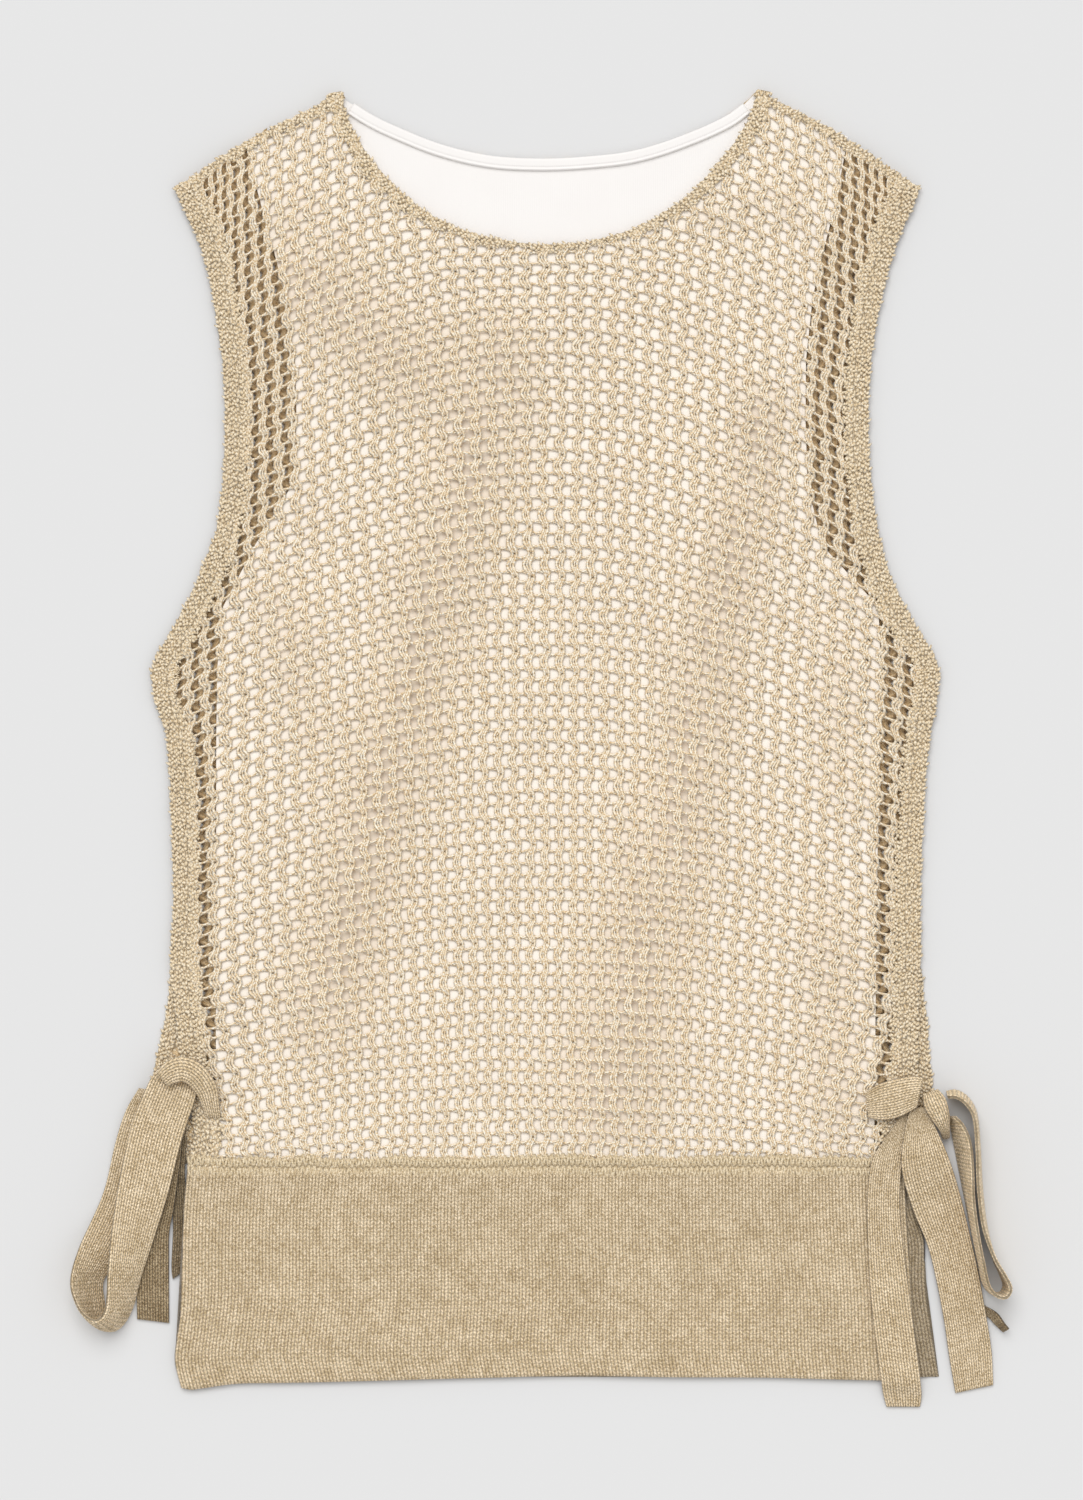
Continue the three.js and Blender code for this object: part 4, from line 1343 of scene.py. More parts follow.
@dataclass
class Border:
    """A strip of plain knit along an edge: a thin wall with rows of V stitches on it.

    The widths are pairs of a share of the way along the edge and millimetres. The wall runs from
    the start to the end, and the stitches over the stitched stretch, both as shares of the edge.
    Upward says whether the stitches climb along the walk or against it. The edge wanders and the
    stitches slip by up to those millimetres.
    """

    name: str
    edge: Line
    lie: Lie
    widths: tuple[tuple[float, float], ...]
    start: float = 0.0
    end: float = 1.0
    upward: bool = True
    tiles: int = 2
    stitch: RoughStitch = field(default_factory=RoughStitch)
    scallop: float = 0.0
    scallop_pitch: float = 7.8 * MM
    wall: float = 1.3 * MM
    row: float = 2.6 * MM
    edge_gap: float = 0.45 * MM
    narrower: float = 1.2 * MM
    wander: float = 0.3
    slip: float = 0.45
    seed: int = 40
    stitched: tuple[float, float] = (0.0, 1.0)

    def _width(self, distance: Points) -> Points:
        """Width in metres at distances along the edge."""
        shares, widths = zip(*self.widths)
        return np.interp(distance / self.edge.length, shares, widths) * MM

    def _edge_in(self, distance: Points) -> Points:
        """How far the scallops draw the edge in."""
        return self.scallop * (0.5 - 0.5 * np.cos(math.tau * distance / self.scallop_pitch))

    def _lay(self, inset: Points, distance: Points, lift: Points) -> Points:
        """Find places on the strip.

        Args:
            inset: Metres in from the edge.
            distance: Metres along the edge.
            lift: Metres over the middle of the cloth.

        Returns:
            Places in the frame.
        """
        x, y = self.edge.at(distance)
        nx, ny = self.edge.left_normal(distance)
        inset = inset + self._edge_in(distance)
        uneven = SoftNoise(self.seed, 6 * MM)
        inset = inset + uneven.at(x, y) * self.wander * MM
        x, y = x + nx * inset, y + ny * inset
        z = self.lie.at(x, y) - NET_WALL / 2 + lift
        return np.column_stack([x, y, z])

    def stitches(self, material: bpy.types.Material) -> bpy.types.Object:
        """Lay the V stitches.

        Args:
            material: Finish of the yarn.

        Returns:
            The stitches.
        """
        first, last = self.stitched
        begin, walk = first * self.edge.length, (last - first) * self.edge.length
        repeat = self.stitch.repeat()
        rows = int(walk / MM / repeat.height)
        full, lengths = repeat.tiled(self.tiles, rows)
        points = read_points(full)
        walked = points[:, 1] * walk / (rows * repeat.height * MM)
        distance = begin + walked if self.upward else begin + walk - walked
        mixed, raised = SoftNoise(self.seed + 1, 3 * MM), SoftNoise(self.seed + 3, 4 * MM)
        inset = points[:, 0] + mixed.at(points[:, 0], points[:, 1]) * self.slip * MM
        distance = distance + mixed.at(points[:, 1], points[:, 0]) * self.slip * MM
        lift = points[:, 2] + (0.35 + 0.25 * raised.at(points[:, 0], points[:, 1])) * MM
        drawn = self._lay(inset, np.clip(distance, 0, self.edge.length), lift)
        ragged = SoftNoise(self.seed + 2, 7 * MM)

        def keep(x: Points, y: Points) -> Points:
            """Tell the stitches that lie inside the strip's own width.

            Args:
                x: Places across, in metres.
                y: Places up, in metres.

            Returns:
                Whether a stitch at each place stays.
            """
            samples = np.linspace(begin, begin + walk, 400)
            px, py = self.edge.at(samples)
            near = np.argmin((x[:, None] - px) ** 2 + (y[:, None] - py) ** 2, axis=1)
            reach = self._width(samples[near]) + (0.6 + 1.6 * ragged.at(x, y)) * MM
            return self.edge.inset(x, y) < reach

        return laid_yarn(f"{self.name}_stitches", full, lengths, drawn, keep, material)

    def ground(self, material: bpy.types.Material) -> bpy.types.Object:
        """Build the thin wall under the stitches.

        Args:
            material: Finish of the plain knit.

        Returns:
            The wall.
        """
        section = Section(6, 3)
        begin, walk = self.start * self.edge.length, (self.end - self.start) * self.edge.length
        rows = int(walk / self.row)

        def wrap(share: Points, reach: Points) -> tuple[Points, Points, Points]:
            """Place the wall.

            Args:
                share: Shares of the way round the section.
                reach: Shares of the way along.

            Returns:
                Places across, up and in height.
            """
            across, top = section.read(share)
            distance = begin + reach * walk
            edge = self.edge_gap + across * (self._width(distance) - self.narrower)
            rounded = np.where((across < 0.02) | (across > 0.98), 0.35, 1.0)
            lift = np.where(top, self.wall * 0.12 * rounded, -self.wall * 0.6 * rounded)
            places = self._lay(edge, distance, lift)
            return places[:, 0], places[:, 1], places[:, 2]

        def cloth(share: Points, reach: Points) -> tuple[Points, Points, Points]:
            """Metres over the cloth."""
            across, _ = section.read(share)
            distance = begin + reach * walk
            return across * self._width(distance), distance, distance

        return add_piece(self.name, wrapped_wall(section.around, rows, wrap, cloth), material)


@dataclass
class SeamRow:
    """The rows of long V stitches that carry the net on the band.

    The stitches start some way below the seam, stand a little over the cloth, and pass from the
    band's height to the net's over a short blend. Two flat strands back each row.
    """

    panel: Panel
    wale: float = 2.9
    height: float = 5.0
    rows: int = 2
    below: float = 4.6
    leg: float = 0.80
    flat: float = 0.7
    back_flat: float = 0.3
    blend: float = 6 * MM
    lift: float = 0.7 * MM
    seed: int = 61

    def build(self, material: bpy.types.Material) -> bpy.types.Object:
        """Lay the rows of stitches over the seam.

        Args:
            material: Finish of the yarn.

        Returns:
            The stitches.
        """
        middle, top = self.wale / 2, self.height
        right = ((middle + 0.10, -0.7, -0.6, 0.60), (middle + 0.40, top * 0.25, 0.10, self.leg),
                 (middle + 0.95, top * 0.75, 0.15, self.leg), (middle + 1.4, top + 0.7, -0.5, 0.60))
        yarns = [Yarn(right, flat=self.flat), Yarn(mirrored(right, middle), flat=self.flat)]
        for level in (0.25, 0.75):
            back = ((0.0, level * top, -0.45, 1.50), (self.wale, level * top, -0.45, 1.50))
            yarns.append(Yarn(back, flat=self.back_flat, onward=(self.wale, 0.0)))
        repeat = Repeat(self.wale, self.height, tuple(yarns))
        edge = self.panel.hem
        wales = round(edge.length / MM / self.wale)
        full, lengths = repeat.tiled(wales, self.rows)
        points = read_points(full)
        distance = points[:, 0] * edge.length / (wales * self.wale * MM)
        x, y = edge.at(distance)
        nx, ny = edge.left_normal(distance)
        uneven = SoftNoise(self.seed, 9 * MM)
        inset = points[:, 1] * (1 + 0.16 * uneven.at(x, y)) - self.below * MM
        x, y = x + nx * inset, y + ny * inset
        band = Lie("front_hem_band")
        share = np.clip((y - SEAM_Y) / self.blend + 0.5, 0, 1)
        share = share * share * (3 - 2 * share)
        ground = band.at(x, y) * (1 - share) + self.panel.lie.at(x, y) * share
        z = ground - NET_WALL / 2 + points[:, 2] + self.lift
        drawn = np.column_stack([x, y, z])

        def keep(across: Points, _: Points) -> Points:
            """Keep every stitch."""
            return np.ones(len(across), bool)

        return laid_yarn("seam_row", full, lengths, drawn, keep, material)


# ------------------------------------------------------------------------------------------------
# Hem bands
# ------------------------------------------------------------------------------------------------


@dataclass
class HemBand:
    """A plain knit band between four edges, with its wales and courses in relief.

    The corners are millimetres off the centre front and above the hem. Each upright fold is its
    place off the centre front, its width and its height in millimetres.
    """

    name: str
    node: str
    hem_left: tuple[float, float]
    hem_right: tuple[float, float]
    seam_left: tuple[float, float]
    seam_right: tuple[float, float]
    wale: float = 3.4 * MM
    course: float = 2.0 * MM
    steps_per_wale: int = 4
    steps_per_course: int = 2
    depth: float = 0.42 * MM
    swell: float = 0.35 * MM
    sink: float = 0.2 * MM
    edge_drop: float = 0.5 * MM
    folds: Rows = ()

    def build(self, material: bpy.types.Material) -> bpy.types.Object:
        """Build the band.

        Args:
            material: Finish of the plain knit.

        Returns:
            The band.
        """
        rim, lie = Rim(self.node), Lie(self.node)
        seam_left, seam_right = local(*self.seam_left), local(*self.seam_right)
        hem_left, hem_right = local(*self.hem_left), local(*self.hem_right)
        bottom = rim.between(hem_left, hem_right)
        right = rim.between(hem_right, seam_right)
        top = rim.between(seam_right, seam_left)
        left = rim.between(seam_left, hem_left)
        wales = round(bottom.length / self.wale)
        courses = round(left.length / self.course)
        section = Section(courses * self.steps_per_course, 8)
        swell = SoftNoise(70, 38 * MM)

        def patch(p: Points, q: Points) -> tuple[Points, Points]:
            """Blend the four edges.

            Args:
                p: Shares of the way across.
                q: Shares of the way up.

            Returns:
                Places across and up, in metres.
            """
            bx, by = bottom.at(p * bottom.length)
            tx, ty = top.at((1 - p) * top.length)
            lx, ly = left.at((1 - q) * left.length)
            rx, ry = right.at(q * right.length)
            c = [line.at(np.array([0.0])) for line in (bottom, right, top, left)]
            (ax, ay), (ex, ey), (gx, gy), (hx, hy) = ((float(u[0]), float(v[0])) for u, v in c)
            corner_x = (1 - p) * (1 - q) * ax + p * (1 - q) * ex + p * q * gx + (1 - p) * q * hx
            corner_y = (1 - p) * (1 - q) * ay + p * (1 - q) * ey + p * q * gy + (1 - p) * q * hy
            x = (1 - q) * bx + q * tx + (1 - p) * lx + p * rx - corner_x
            y = (1 - q) * by + q * ty + (1 - p) * ly + p * ry - corner_y
            return x, y

        def cloth(share: Points, reach: Points) -> tuple[Points, Points, Points]:
            """Metres across the wales and along them."""
            up, _ = section.read(share)
            return reach * wales * self.wale, up * courses * self.course, up

        def wrap(share: Points, reach: Points) -> tuple[Points, Points, Points]:
            """Place the wall with its relief.

            Args:
                share: Shares of the way round the section.
                reach: Shares of the way across the band.

            Returns:
                Places across, up and in height.
            """
            up, top_side = section.read(share)
            x, y = patch(reach, up)
            across, along, _ = cloth(share, reach)
            relief = knit_relief(across, along, self.wale, self.course) * self.depth
            relief = relief + swell.at(x, y) * self.swell
            for place, width, height in self.folds:
                off = (x - SHIFT_X) / MM - place
                relief = relief + height * MM * np.exp(-(off / width) ** 2)
            rim_drop = np.where((up < 0.003) | (up > 0.997), self.edge_drop, 0.0)
            rim_drop += np.where((reach < 0.001) | (reach > 0.999), self.edge_drop, 0.0)
            upper = lie.at(x, y) - self.sink + relief - rim_drop
            lower = lie.at(x, y) - NET_WALL + 0.1 * MM + rim_drop * 0.5
            return x, y, np.where(top_side, upper, np.maximum(lower, 0.05 * MM))

        mesh = wrapped_wall(section.around, wales * self.steps_per_wale, wrap, cloth)
        return add_piece(self.name, mesh, material)


def knit_relief(across: Points, along: Points, wale: float, course: float) -> Points:
    """Height of plain knit: two rows of plump links to a wale, with a deep groove beside it.

    Args:
        across: Metres across the wales.
        along: Metres along the wales.
        wale: Width of a wale.
        course: Height of a course.

    Returns:
        Heights from 0 to 1.
    """
    turn = math.tau * across / wale
    legs = 0.5 - 0.5 * np.cos(2 * turn)
    inside = np.clip(-np.cos(turn), 0, 1)
    links = 0.5 + 0.5 * np.cos(math.tau * along / course)
    return np.clip(legs * (0.55 + 0.45 * links) + inside * 0.22, 0, 1)


# ------------------------------------------------------------------------------------------------
# Ties
# ------------------------------------------------------------------------------------------------


NARROWEST_TIE = 10.5      # millimetres across the cut of a gathered stretch


@dataclass
class Tie:
    """A stretch of knitted tie swept along rows of x, y, z, bearing, lean, width and crown.

    Lengths are in millimetres and angles in degrees. The bearing and the lean say which way the
    tie's width points, and the crown is how far its middle bulges.
    """

    name: str
    wall: float
    rows: Rows
    wale: float = 2.9 * MM
    course: float = 1.9 * MM
    depth: float = 0.42 * MM
    tone: Tone = Tone.FACE

    def _track(self, places: Points) -> Points:
        """Read the rows' columns off smooth curves.

        Args:
            places: Row numbers, with fractions.

        Returns:
            One row of the table's columns for each.
        """
        table = np.array(self.rows)
        slopes = np.empty_like(table)
        slopes[1:-1] = (table[2:] - table[:-2]) / 2
        slopes[0], slopes[-1] = table[1] - table[0], table[-1] - table[-2]
        low = np.clip(np.floor(places).astype(int), 0, len(table) - 2)
        t = (places - low)[:, None]
        start, end = table[low], table[low + 1]
        return (start * (1 + 2 * t) * (1 - t) ** 2 + slopes[low] * t * (1 - t) ** 2
                + end * t * t * (3 - 2 * t) + slopes[low + 1] * t * t * (t - 1))

    def stations(self) -> dict[str, Points]:
        """Read the tie at even distances.

        Returns:
            Its middle, direction across, facing, width, crown and distance walked, by name.
        """
        places = np.linspace(0, len(self.rows) - 1, 400)
        middle = self._track(places)[:, :3]
        walked = np.concatenate([[0], np.cumsum(np.linalg.norm(np.diff(middle, axis=0), axis=1))])
        steps = max(int(walked[-1] * MM / (self.course / 2)), 8)
        even = np.interp(np.linspace(0, walked[-1], steps + 1), walked, places)
        read = self._track(even)
        bearing, lean = np.radians(read[:, 3]), np.radians(read[:, 4])
        across = np.column_stack([np.cos(bearing) * np.cos(lean), np.sin(bearing) * np.cos(lean),
                                  np.sin(lean)])
        ahead = np.gradient(read[:, :3], axis=0)
        outward = np.cross(ahead, across)
        outward /= np.linalg.norm(outward, axis=1)[:, None]
        upward = 1.0 if outward[0, 2] >= 0 else -1.0
        return {"middle": read[:, :3], "across": across, "outward": outward,
                "width": read[:, 5], "crown": read[:, 6] * upward,
                "walked": np.linspace(0, walked[-1], steps + 1) * MM}

    def build(self, material: bpy.types.Material) -> bpy.types.Object:
        """Sweep the tie.

        Args:
            material: Finish of the plain knit.

        Returns:
            The tie.
        """
        found = self.stations()
        steps = len(found["walked"]) - 1
        widest = float(found["width"].max()) * MM
        wales = max(round(widest / self.wale), 2)
        section = Section(wales * 4, wales * 4 if self.tone is Tone.LOOP else wales * 2)

        def station(reach: Points) -> Points:
            """Whole number of the station at shares along the tie."""
            return np.rint(reach * steps).astype(int)

        def cloth(share: Points, reach: Points) -> tuple[Points, Points, Points]:
            """Metres across the wales and along them."""
            across, _ = section.read(share)
            walked = found["walked"][station(reach)]
            return across * wales * self.wale, walked, walked

        def wrap(share: Points, reach: Points) -> tuple[Points, Points, Points]:
            """Place the wall with its relief.

            Args:
                share: Shares of the way round the section.
                reach: Shares of the way along the tie.

            Returns:
                Places across, up and in height.
            """
            side, top = section.read(share)
            at = station(reach)
            face = np.where(top, 1.0, -1.0)
            over = side * 2 - 1
            u, v, _ = cloth(share, reach)
            relief = knit_relief(u, v, self.wale, self.course) * self.depth / MM
            edge = np.exp(-((1 - np.abs(over)) * found["width"][at] / 2 / 0.9) ** 2)
            relief = relief * (1 - 0.5 * edge) + 0.12 * edge
            round_off = np.where(np.abs(over) > 0.995, 0.45, 1.0)
            thick = (self.wall / 2 - 0.25 + relief) * round_off
            reachout = found["crown"][at] * (1 - over ** 2) + face * thick
            points = (found["middle"][at]
                      + found["across"][at] * (over * found["width"][at] / 2)[:, None]
                      + found["outward"][at] * reachout[:, None])
            x = points[:, 0] * MM + SHIFT_X
            y = points[:, 1] * MM + SHIFT_Y
            return x, y, np.maximum(points[:, 2] * MM, 0.02 * MM)

        mesh = wrapped_wall(section.around, steps, wrap, cloth)
        return add_piece(f"{self.name}_knit", mesh, material)


TIES = (
    Tie("right_tie_root", 2.2, (
        (160.3, 142.0, 9.7, 96, 0, 13, 0.6),
        (166.8, 143.5, 11.4, 93, 0, 18, 1.6),
        (174.8, 145.3, 12.8, 85, 0, 20, 2.2),
        (181.8, 147.3, 14.2, 80, 0, 18.5, 2.2),
        (186.3, 148.4, 14.8, 78, 0, 15, 1.8),
    ), tone=Tone.LOOP),
    Tie("right_knot", 2.4, (
        (191.4, 148.6, 14.3, 20, 0, 8.2, 1),
        (193.6, 143.4, 15.1, 20, 0, 11.6, 2.2),
        (196.2, 136.8, 14.4, 18, -8, 9.8, 2.2),
        (198.6, 130.2, 10.4, 16, -10, 5.6, 1.4),
        (199.8, 125.6, 5.8, 12, 0, 4, 0.5),
    ), tone=Tone.LOOP),
    Tie("right_front_tail", 1.8, (
        (181.0, 139.0, 8.4, 25, 0, 8, 0.5),
        (176.5, 129.5, 8.4, 24, 0, 13, 0.6),
        (170.8, 116.5, 8.5, 12, 0, 16, 0.8),
        (168.6, 99.0, 8.3, 2, 0, 16, 0.6),
        (168.9, 79.0, 7.7, -2, 0, 17, 0.5),
        (172.0, 45.0, 6.8, -8, 0, 20, 0.4),
        (175.6, 16.0, 6.0, -8, 0, 20.5, 0.3),
        (177.3, 3.5, 5.6, -6, 0, 20, 0.2),
        (178.2, -3.5, 2.6, -4, 0, 19.5, 0.1),
        (178.8, -9.8, 1.0, 0, 0, 17, 0),
    )),
    Tie("right_side_tail", 1.8, (
        (185.4, 140.5, 11.3, 8, 0, 8, 0.4),
        (186.4, 129.8, 11.3, 10, 0, 15.4, 0.6),
        (188.8, 113.6, 11.4, 15, 0, 24, 0.8),
        (194.6, 94.5, 6.6, 20, 0, 25, 0.5),
        (201.3, 74.0, 4.0, 18, 0, 22, 0.3),
        (205.8, 55.0, 3.4, 14, 0, 21.5, 0.3),
        (209.5, 35.0, 3.4, 10, 0, 21.3, 0.3),
        (212.3, 17.0, 2.0, 8, 0, 21.5, 0.3),
        (214.4, -1.0, 1.0, 12, 0, 19.5, 0),
    )),
    Tie("right_back_tail", 1.8, (
        (190.8, 124.0, 4.6, 12, 0, 9, 0),
        (194.3, 108.0, 3.4, 18, 0, 12, 0),
        (199.3, 88.0, 2.2, 18, 0, 10, 0),
        (204.3, 66.0, 0.9, 18, 0, 10, 0),
        (210.3, 46.0, 0.9, 30, 0, 7, 0),
        (217.6, 39.6, 0.9, 52, 0, 4.5, 0),
        (223.4, 36.2, 2.5, 50, 34, 5.2, 0),
        (226.6, 32.6, 4.6, 50, 62, 8, 0),
        (230.1, 28.8, 5.2, 52, 72, 8.6, 0),
    ), tone=Tone.REVERSE),
    Tie("right_loop", 1.8, (
        (200.2, 146.8, 8.0, 80, 97, 12, 0),
        (205.0, 147.0, 9.0, 60, 98, 16, 0),
        (210.2, 143.4, 10.4, 30, 98, 19, 0),
        (213.9, 136.2, 11.2, 0, 97, 21, 0),
        (215.4, 121.0, 11.4, 0, 97, 22, 0),
        (216.3, 101.0, 11.4, 0, 98, 22, 0),
        (218.6, 82.0, 11.2, 0, 97, 22, 0),
        (223.2, 66.5, 11.0, 0, 92, 21, 0),
        (227.9, 57.0, 10.4, 0, 87, 20, 0),
        (230.2, 51.0, 10.2, 0, 85, 19.5, 0),
        (228.0, 46.8, 10.0, 0, 85, 19, 0),
        (223.3, 47.6, 10.0, 0, 85, 19, 0),
        (219.4, 52.5, 10.2, 0, 86, 19.5, 0),
        (217.0, 63.0, 10.6, 0, 87, 20.5, 0),
        (214.0, 78.0, 11.2, 0, 87, 21.5, 0),
        (211.2, 95.0, 11.2, 0, 84, 22, 0),
        (209.2, 112.0, 11.0, 0, 76, 22, 0),
        (207.4, 124.0, 10.6, 0, 72, 21, 0),
        (205.2, 131.5, 9.8, 8, 74, 17, 0),
        (202.3, 135.8, 8.6, 20, 78, 12, 0),
    ), tone=Tone.LOOP),
    Tie("left_knot", 2.2, (
        (-166.6, 136.0, 6.6, -6, 0, 8.0, 0.4),
        (-167.8, 142.5, 9.6, 0, 0, 9, 0.8),
        (-169.8, 150.0, 12.0, 22, 0, 11, 1.6),
        (-174.8, 157.0, 14.2, 52, 0, 12, 2),
        (-181.0, 160.0, 15.2, 88, 0, 12.5, 2),
        (-187.0, 158.5, 14.8, 112, 0, 11.5, 1.6),
        (-191.3, 155.0, 13.8, 134, 0, 9, 0.8),
    ), tone=Tone.LOOP),
    Tie("left_loop", 1.8, (
        (-198.0, 149.0, 4.6, 172, 0, 12, 0),
        (-200.8, 136.0, 4.2, 166, 0, 20, 0),
        (-205.3, 119.0, 3.1, 160, 0, 22, 0),
        (-211.0, 95.5, 1.0, 158, 0, 22, 0),
        (-217.0, 80.0, 2.4, 158, 8, 22.5, 0),
        (-224.0, 66.5, 6.6, 160, 28, 22.5, 0),
        (-229.2, 54.0, 10.0, 178, 48, 22.5, -1.2),
        (-227.6, 43.5, 11.2, 176, 57, 22.5, -2.2),
        (-224.5, 35.5, 11.8, 154, 64, 22.5, -2.6),
        (-219.0, 32.5, 11.8, 138, 63, 22.5, -2.2),
        (-213.4, 40.3, 11.6, 166, 59, 22.5, -1.4),
        (-210.3, 58.0, 11.4, 172, 46, 22.5, -0.6),
        (-206.0, 79.5, 9.8, 160, 25, 23.5, 0),
        (-200.3, 104.0, 9.0, 159, 5, 25.5, 0),
        (-194.5, 128.0, 9.0, 162, 0, 26, 0),
        (-187.8, 146.5, 9.6, 160, 0, 25, 0.4),
        (-185.6, 152.3, 9.2, 159, 0, 23.5, 0.6),
        (-184.6, 155.3, 7.2, 158, 0, 21, 0.6),
    ), tone=Tone.LOOP),
    Tie("left_outer_tail", 1.8, (
        (-185.6, 134.0, 6.6, -12, 0, 7.5, 0),
        (-187.2, 120.0, 6.2, -14, 0, 9.5, 0),
        (-190.2, 104.0, 4.8, -16, 0, 11.5, 0),
        (-193.6, 90.0, 3.4, -13, 0, 14.2, 0),
        (-196.3, 78.0, 2.2, -8, 0, 15.2, 0),
        (-197.3, 62.0, 0.9, -2, 0, 16.5, 0),
        (-197.0, 33.0, 0.9, -7, 0, 16.2, 0),
    ), tone=Tone.REVERSE),
    Tie("left_inner_tail", 1.8, (
        (-183.4, 126.0, 3.3, -4, 0, 7, 0),
        (-184.2, 109.0, 3.2, -2, 0, 6.6, 0),
        (-184.2, 100.0, 0.9, 0, 0, 7.2, 0),
        (-183.3, 80.0, 0.9, 3, 0, 7.6, 0),
        (-184.3, 62.0, 0.9, 18, 0, 7.4, 0),
        (-185.0, 55.5, 0.9, 36, 0, 5.5, 0),
    ), tone=Tone.DEEP_SHADE),
)


# ------------------------------------------------------------------------------------------------
# Lining
# ------------------------------------------------------------------------------------------------


@dataclass
class LiningPanel:
    """A jersey panel on its solid's form, with a soft lie.

    Where the cloth over it is given, the panel lies at an even depth below that. Under the folds of
    that cloth it follows for a share of the extra room, and is marked there for painted shade.
    """

    node: str
    seed: int
    over: Lie | None = None
    cuts: int = 2
    swell: float = 0.18 * MM
    swell_cell: float = 26 * MM
    follows: float = 0.75
    most_room: float = 4 * MM
    full_shade: float = 2.5 * MM

    def build(self, material: bpy.types.Material) -> bpy.types.Object:
        """Refine a copy of the solid and let it lie unevenly.

        Args:
            material: Finish of the jersey.

        Returns:
            The panel.
        """
        mesh = solid_copy(self.node)
        bmesh.ops.subdivide_edges(mesh, edges=mesh.edges, cuts=self.cuts, use_grid_fill=True)
        piece = add_piece(f"{self.node}_cloth", mesh, material, smooth=False)
        points = read_points(piece.data)
        x, y = points[:, 0], points[:, 1]
        top = np.empty((len(points), 3), np.float32)
        piece.data.vertices.foreach_get("normal", top.ravel())
        upper = top[:, 2] > 0.5
        points[:, 2] += SoftNoise(self.seed, self.swell_cell).at(x, y) * self.swell * upper
        hollow = np.zeros(len(points))
        if self.over is not None:
            room = self.over.at(x, y) - points[:, 2]
            usual = float(np.percentile(room[upper], 20))
            LOG.info("%s: %.2f mm under the net", piece.name, usual / MM)
            hollow = np.clip(room - usual, 0, self.most_room) * upper
            points[:, 2] += self.follows * hollow + (usual - NET_DEPTH) * upper
        shaded = np.clip(hollow / self.full_shade, 0, 1)
        layer = piece.data.attributes.new(NET_SHADE_MAP, "FLOAT", "POINT")
        layer.data.foreach_set("value", shaded.astype(np.float32))
        write_points(piece.data, points)
        return piece


@dataclass
class NeckBinding:
    """The folded strip round the back of the neck, with a line of stitches near its lower edge."""

    node: str = "neck_binding"
    width: float = 6.2 * MM
    height: float = 1.7 * MM
    steps: int = 150

    def build(self, material: bpy.types.Material) -> bpy.types.Object:
        """Sweep the folded section.

        Args:
            material: Finish of the jersey.

        Returns:
            The binding.
        """
        rim = Rim(self.node)
        low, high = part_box(self.node)
        left, right = Vector((low.x, high.y)), Vector((high.x, high.y))
        upper = rim.between(right, left)
        section = Section(14, 4)

        def wrap(share: Points, reach: Points) -> tuple[Points, Points, Points]:
            """Place the wall.

            Args:
                share: Shares of the way round the section.
                reach: Shares of the way along the binding.

            Returns:
                Places across, up and in height.
            """
            across, top = section.read(share)
            distance = reach * upper.length
            x, y = upper.at(distance)
            nx, ny = upper.left_normal(distance)
            fold = np.sqrt(np.clip(1 - (1 - np.clip(across * 5, 0, 1)) ** 2, 0, 1))
            edge = np.sqrt(np.clip(1 - (1 - np.clip((1 - across) * 9, 0, 1)) ** 2, 0, 1))
            seam = np.exp(-((across - 0.74) / 0.06) ** 2)
            lift = self.height * (0.35 + 0.65 * np.minimum(fold, edge)) * (1 - 0.28 * seam)
            inset = across * self.width
            z = np.where(top, low.z + lift, low.z)
            return x + nx * inset, y + ny * inset, z

        def cloth(share: Points, reach: Points) -> tuple[Points, Points, Points]:
            """Metres over the cloth."""
            across, _ = section.read(share)
            return across * self.width, reach * upper.length, reach

        mesh = wrapped_wall(section.around, self.steps, wrap, cloth)
        return add_piece("neck_bound_edge", mesh, material)


# ------------------------------------------------------------------------------------------------
# Studio
# ------------------------------------------------------------------------------------------------


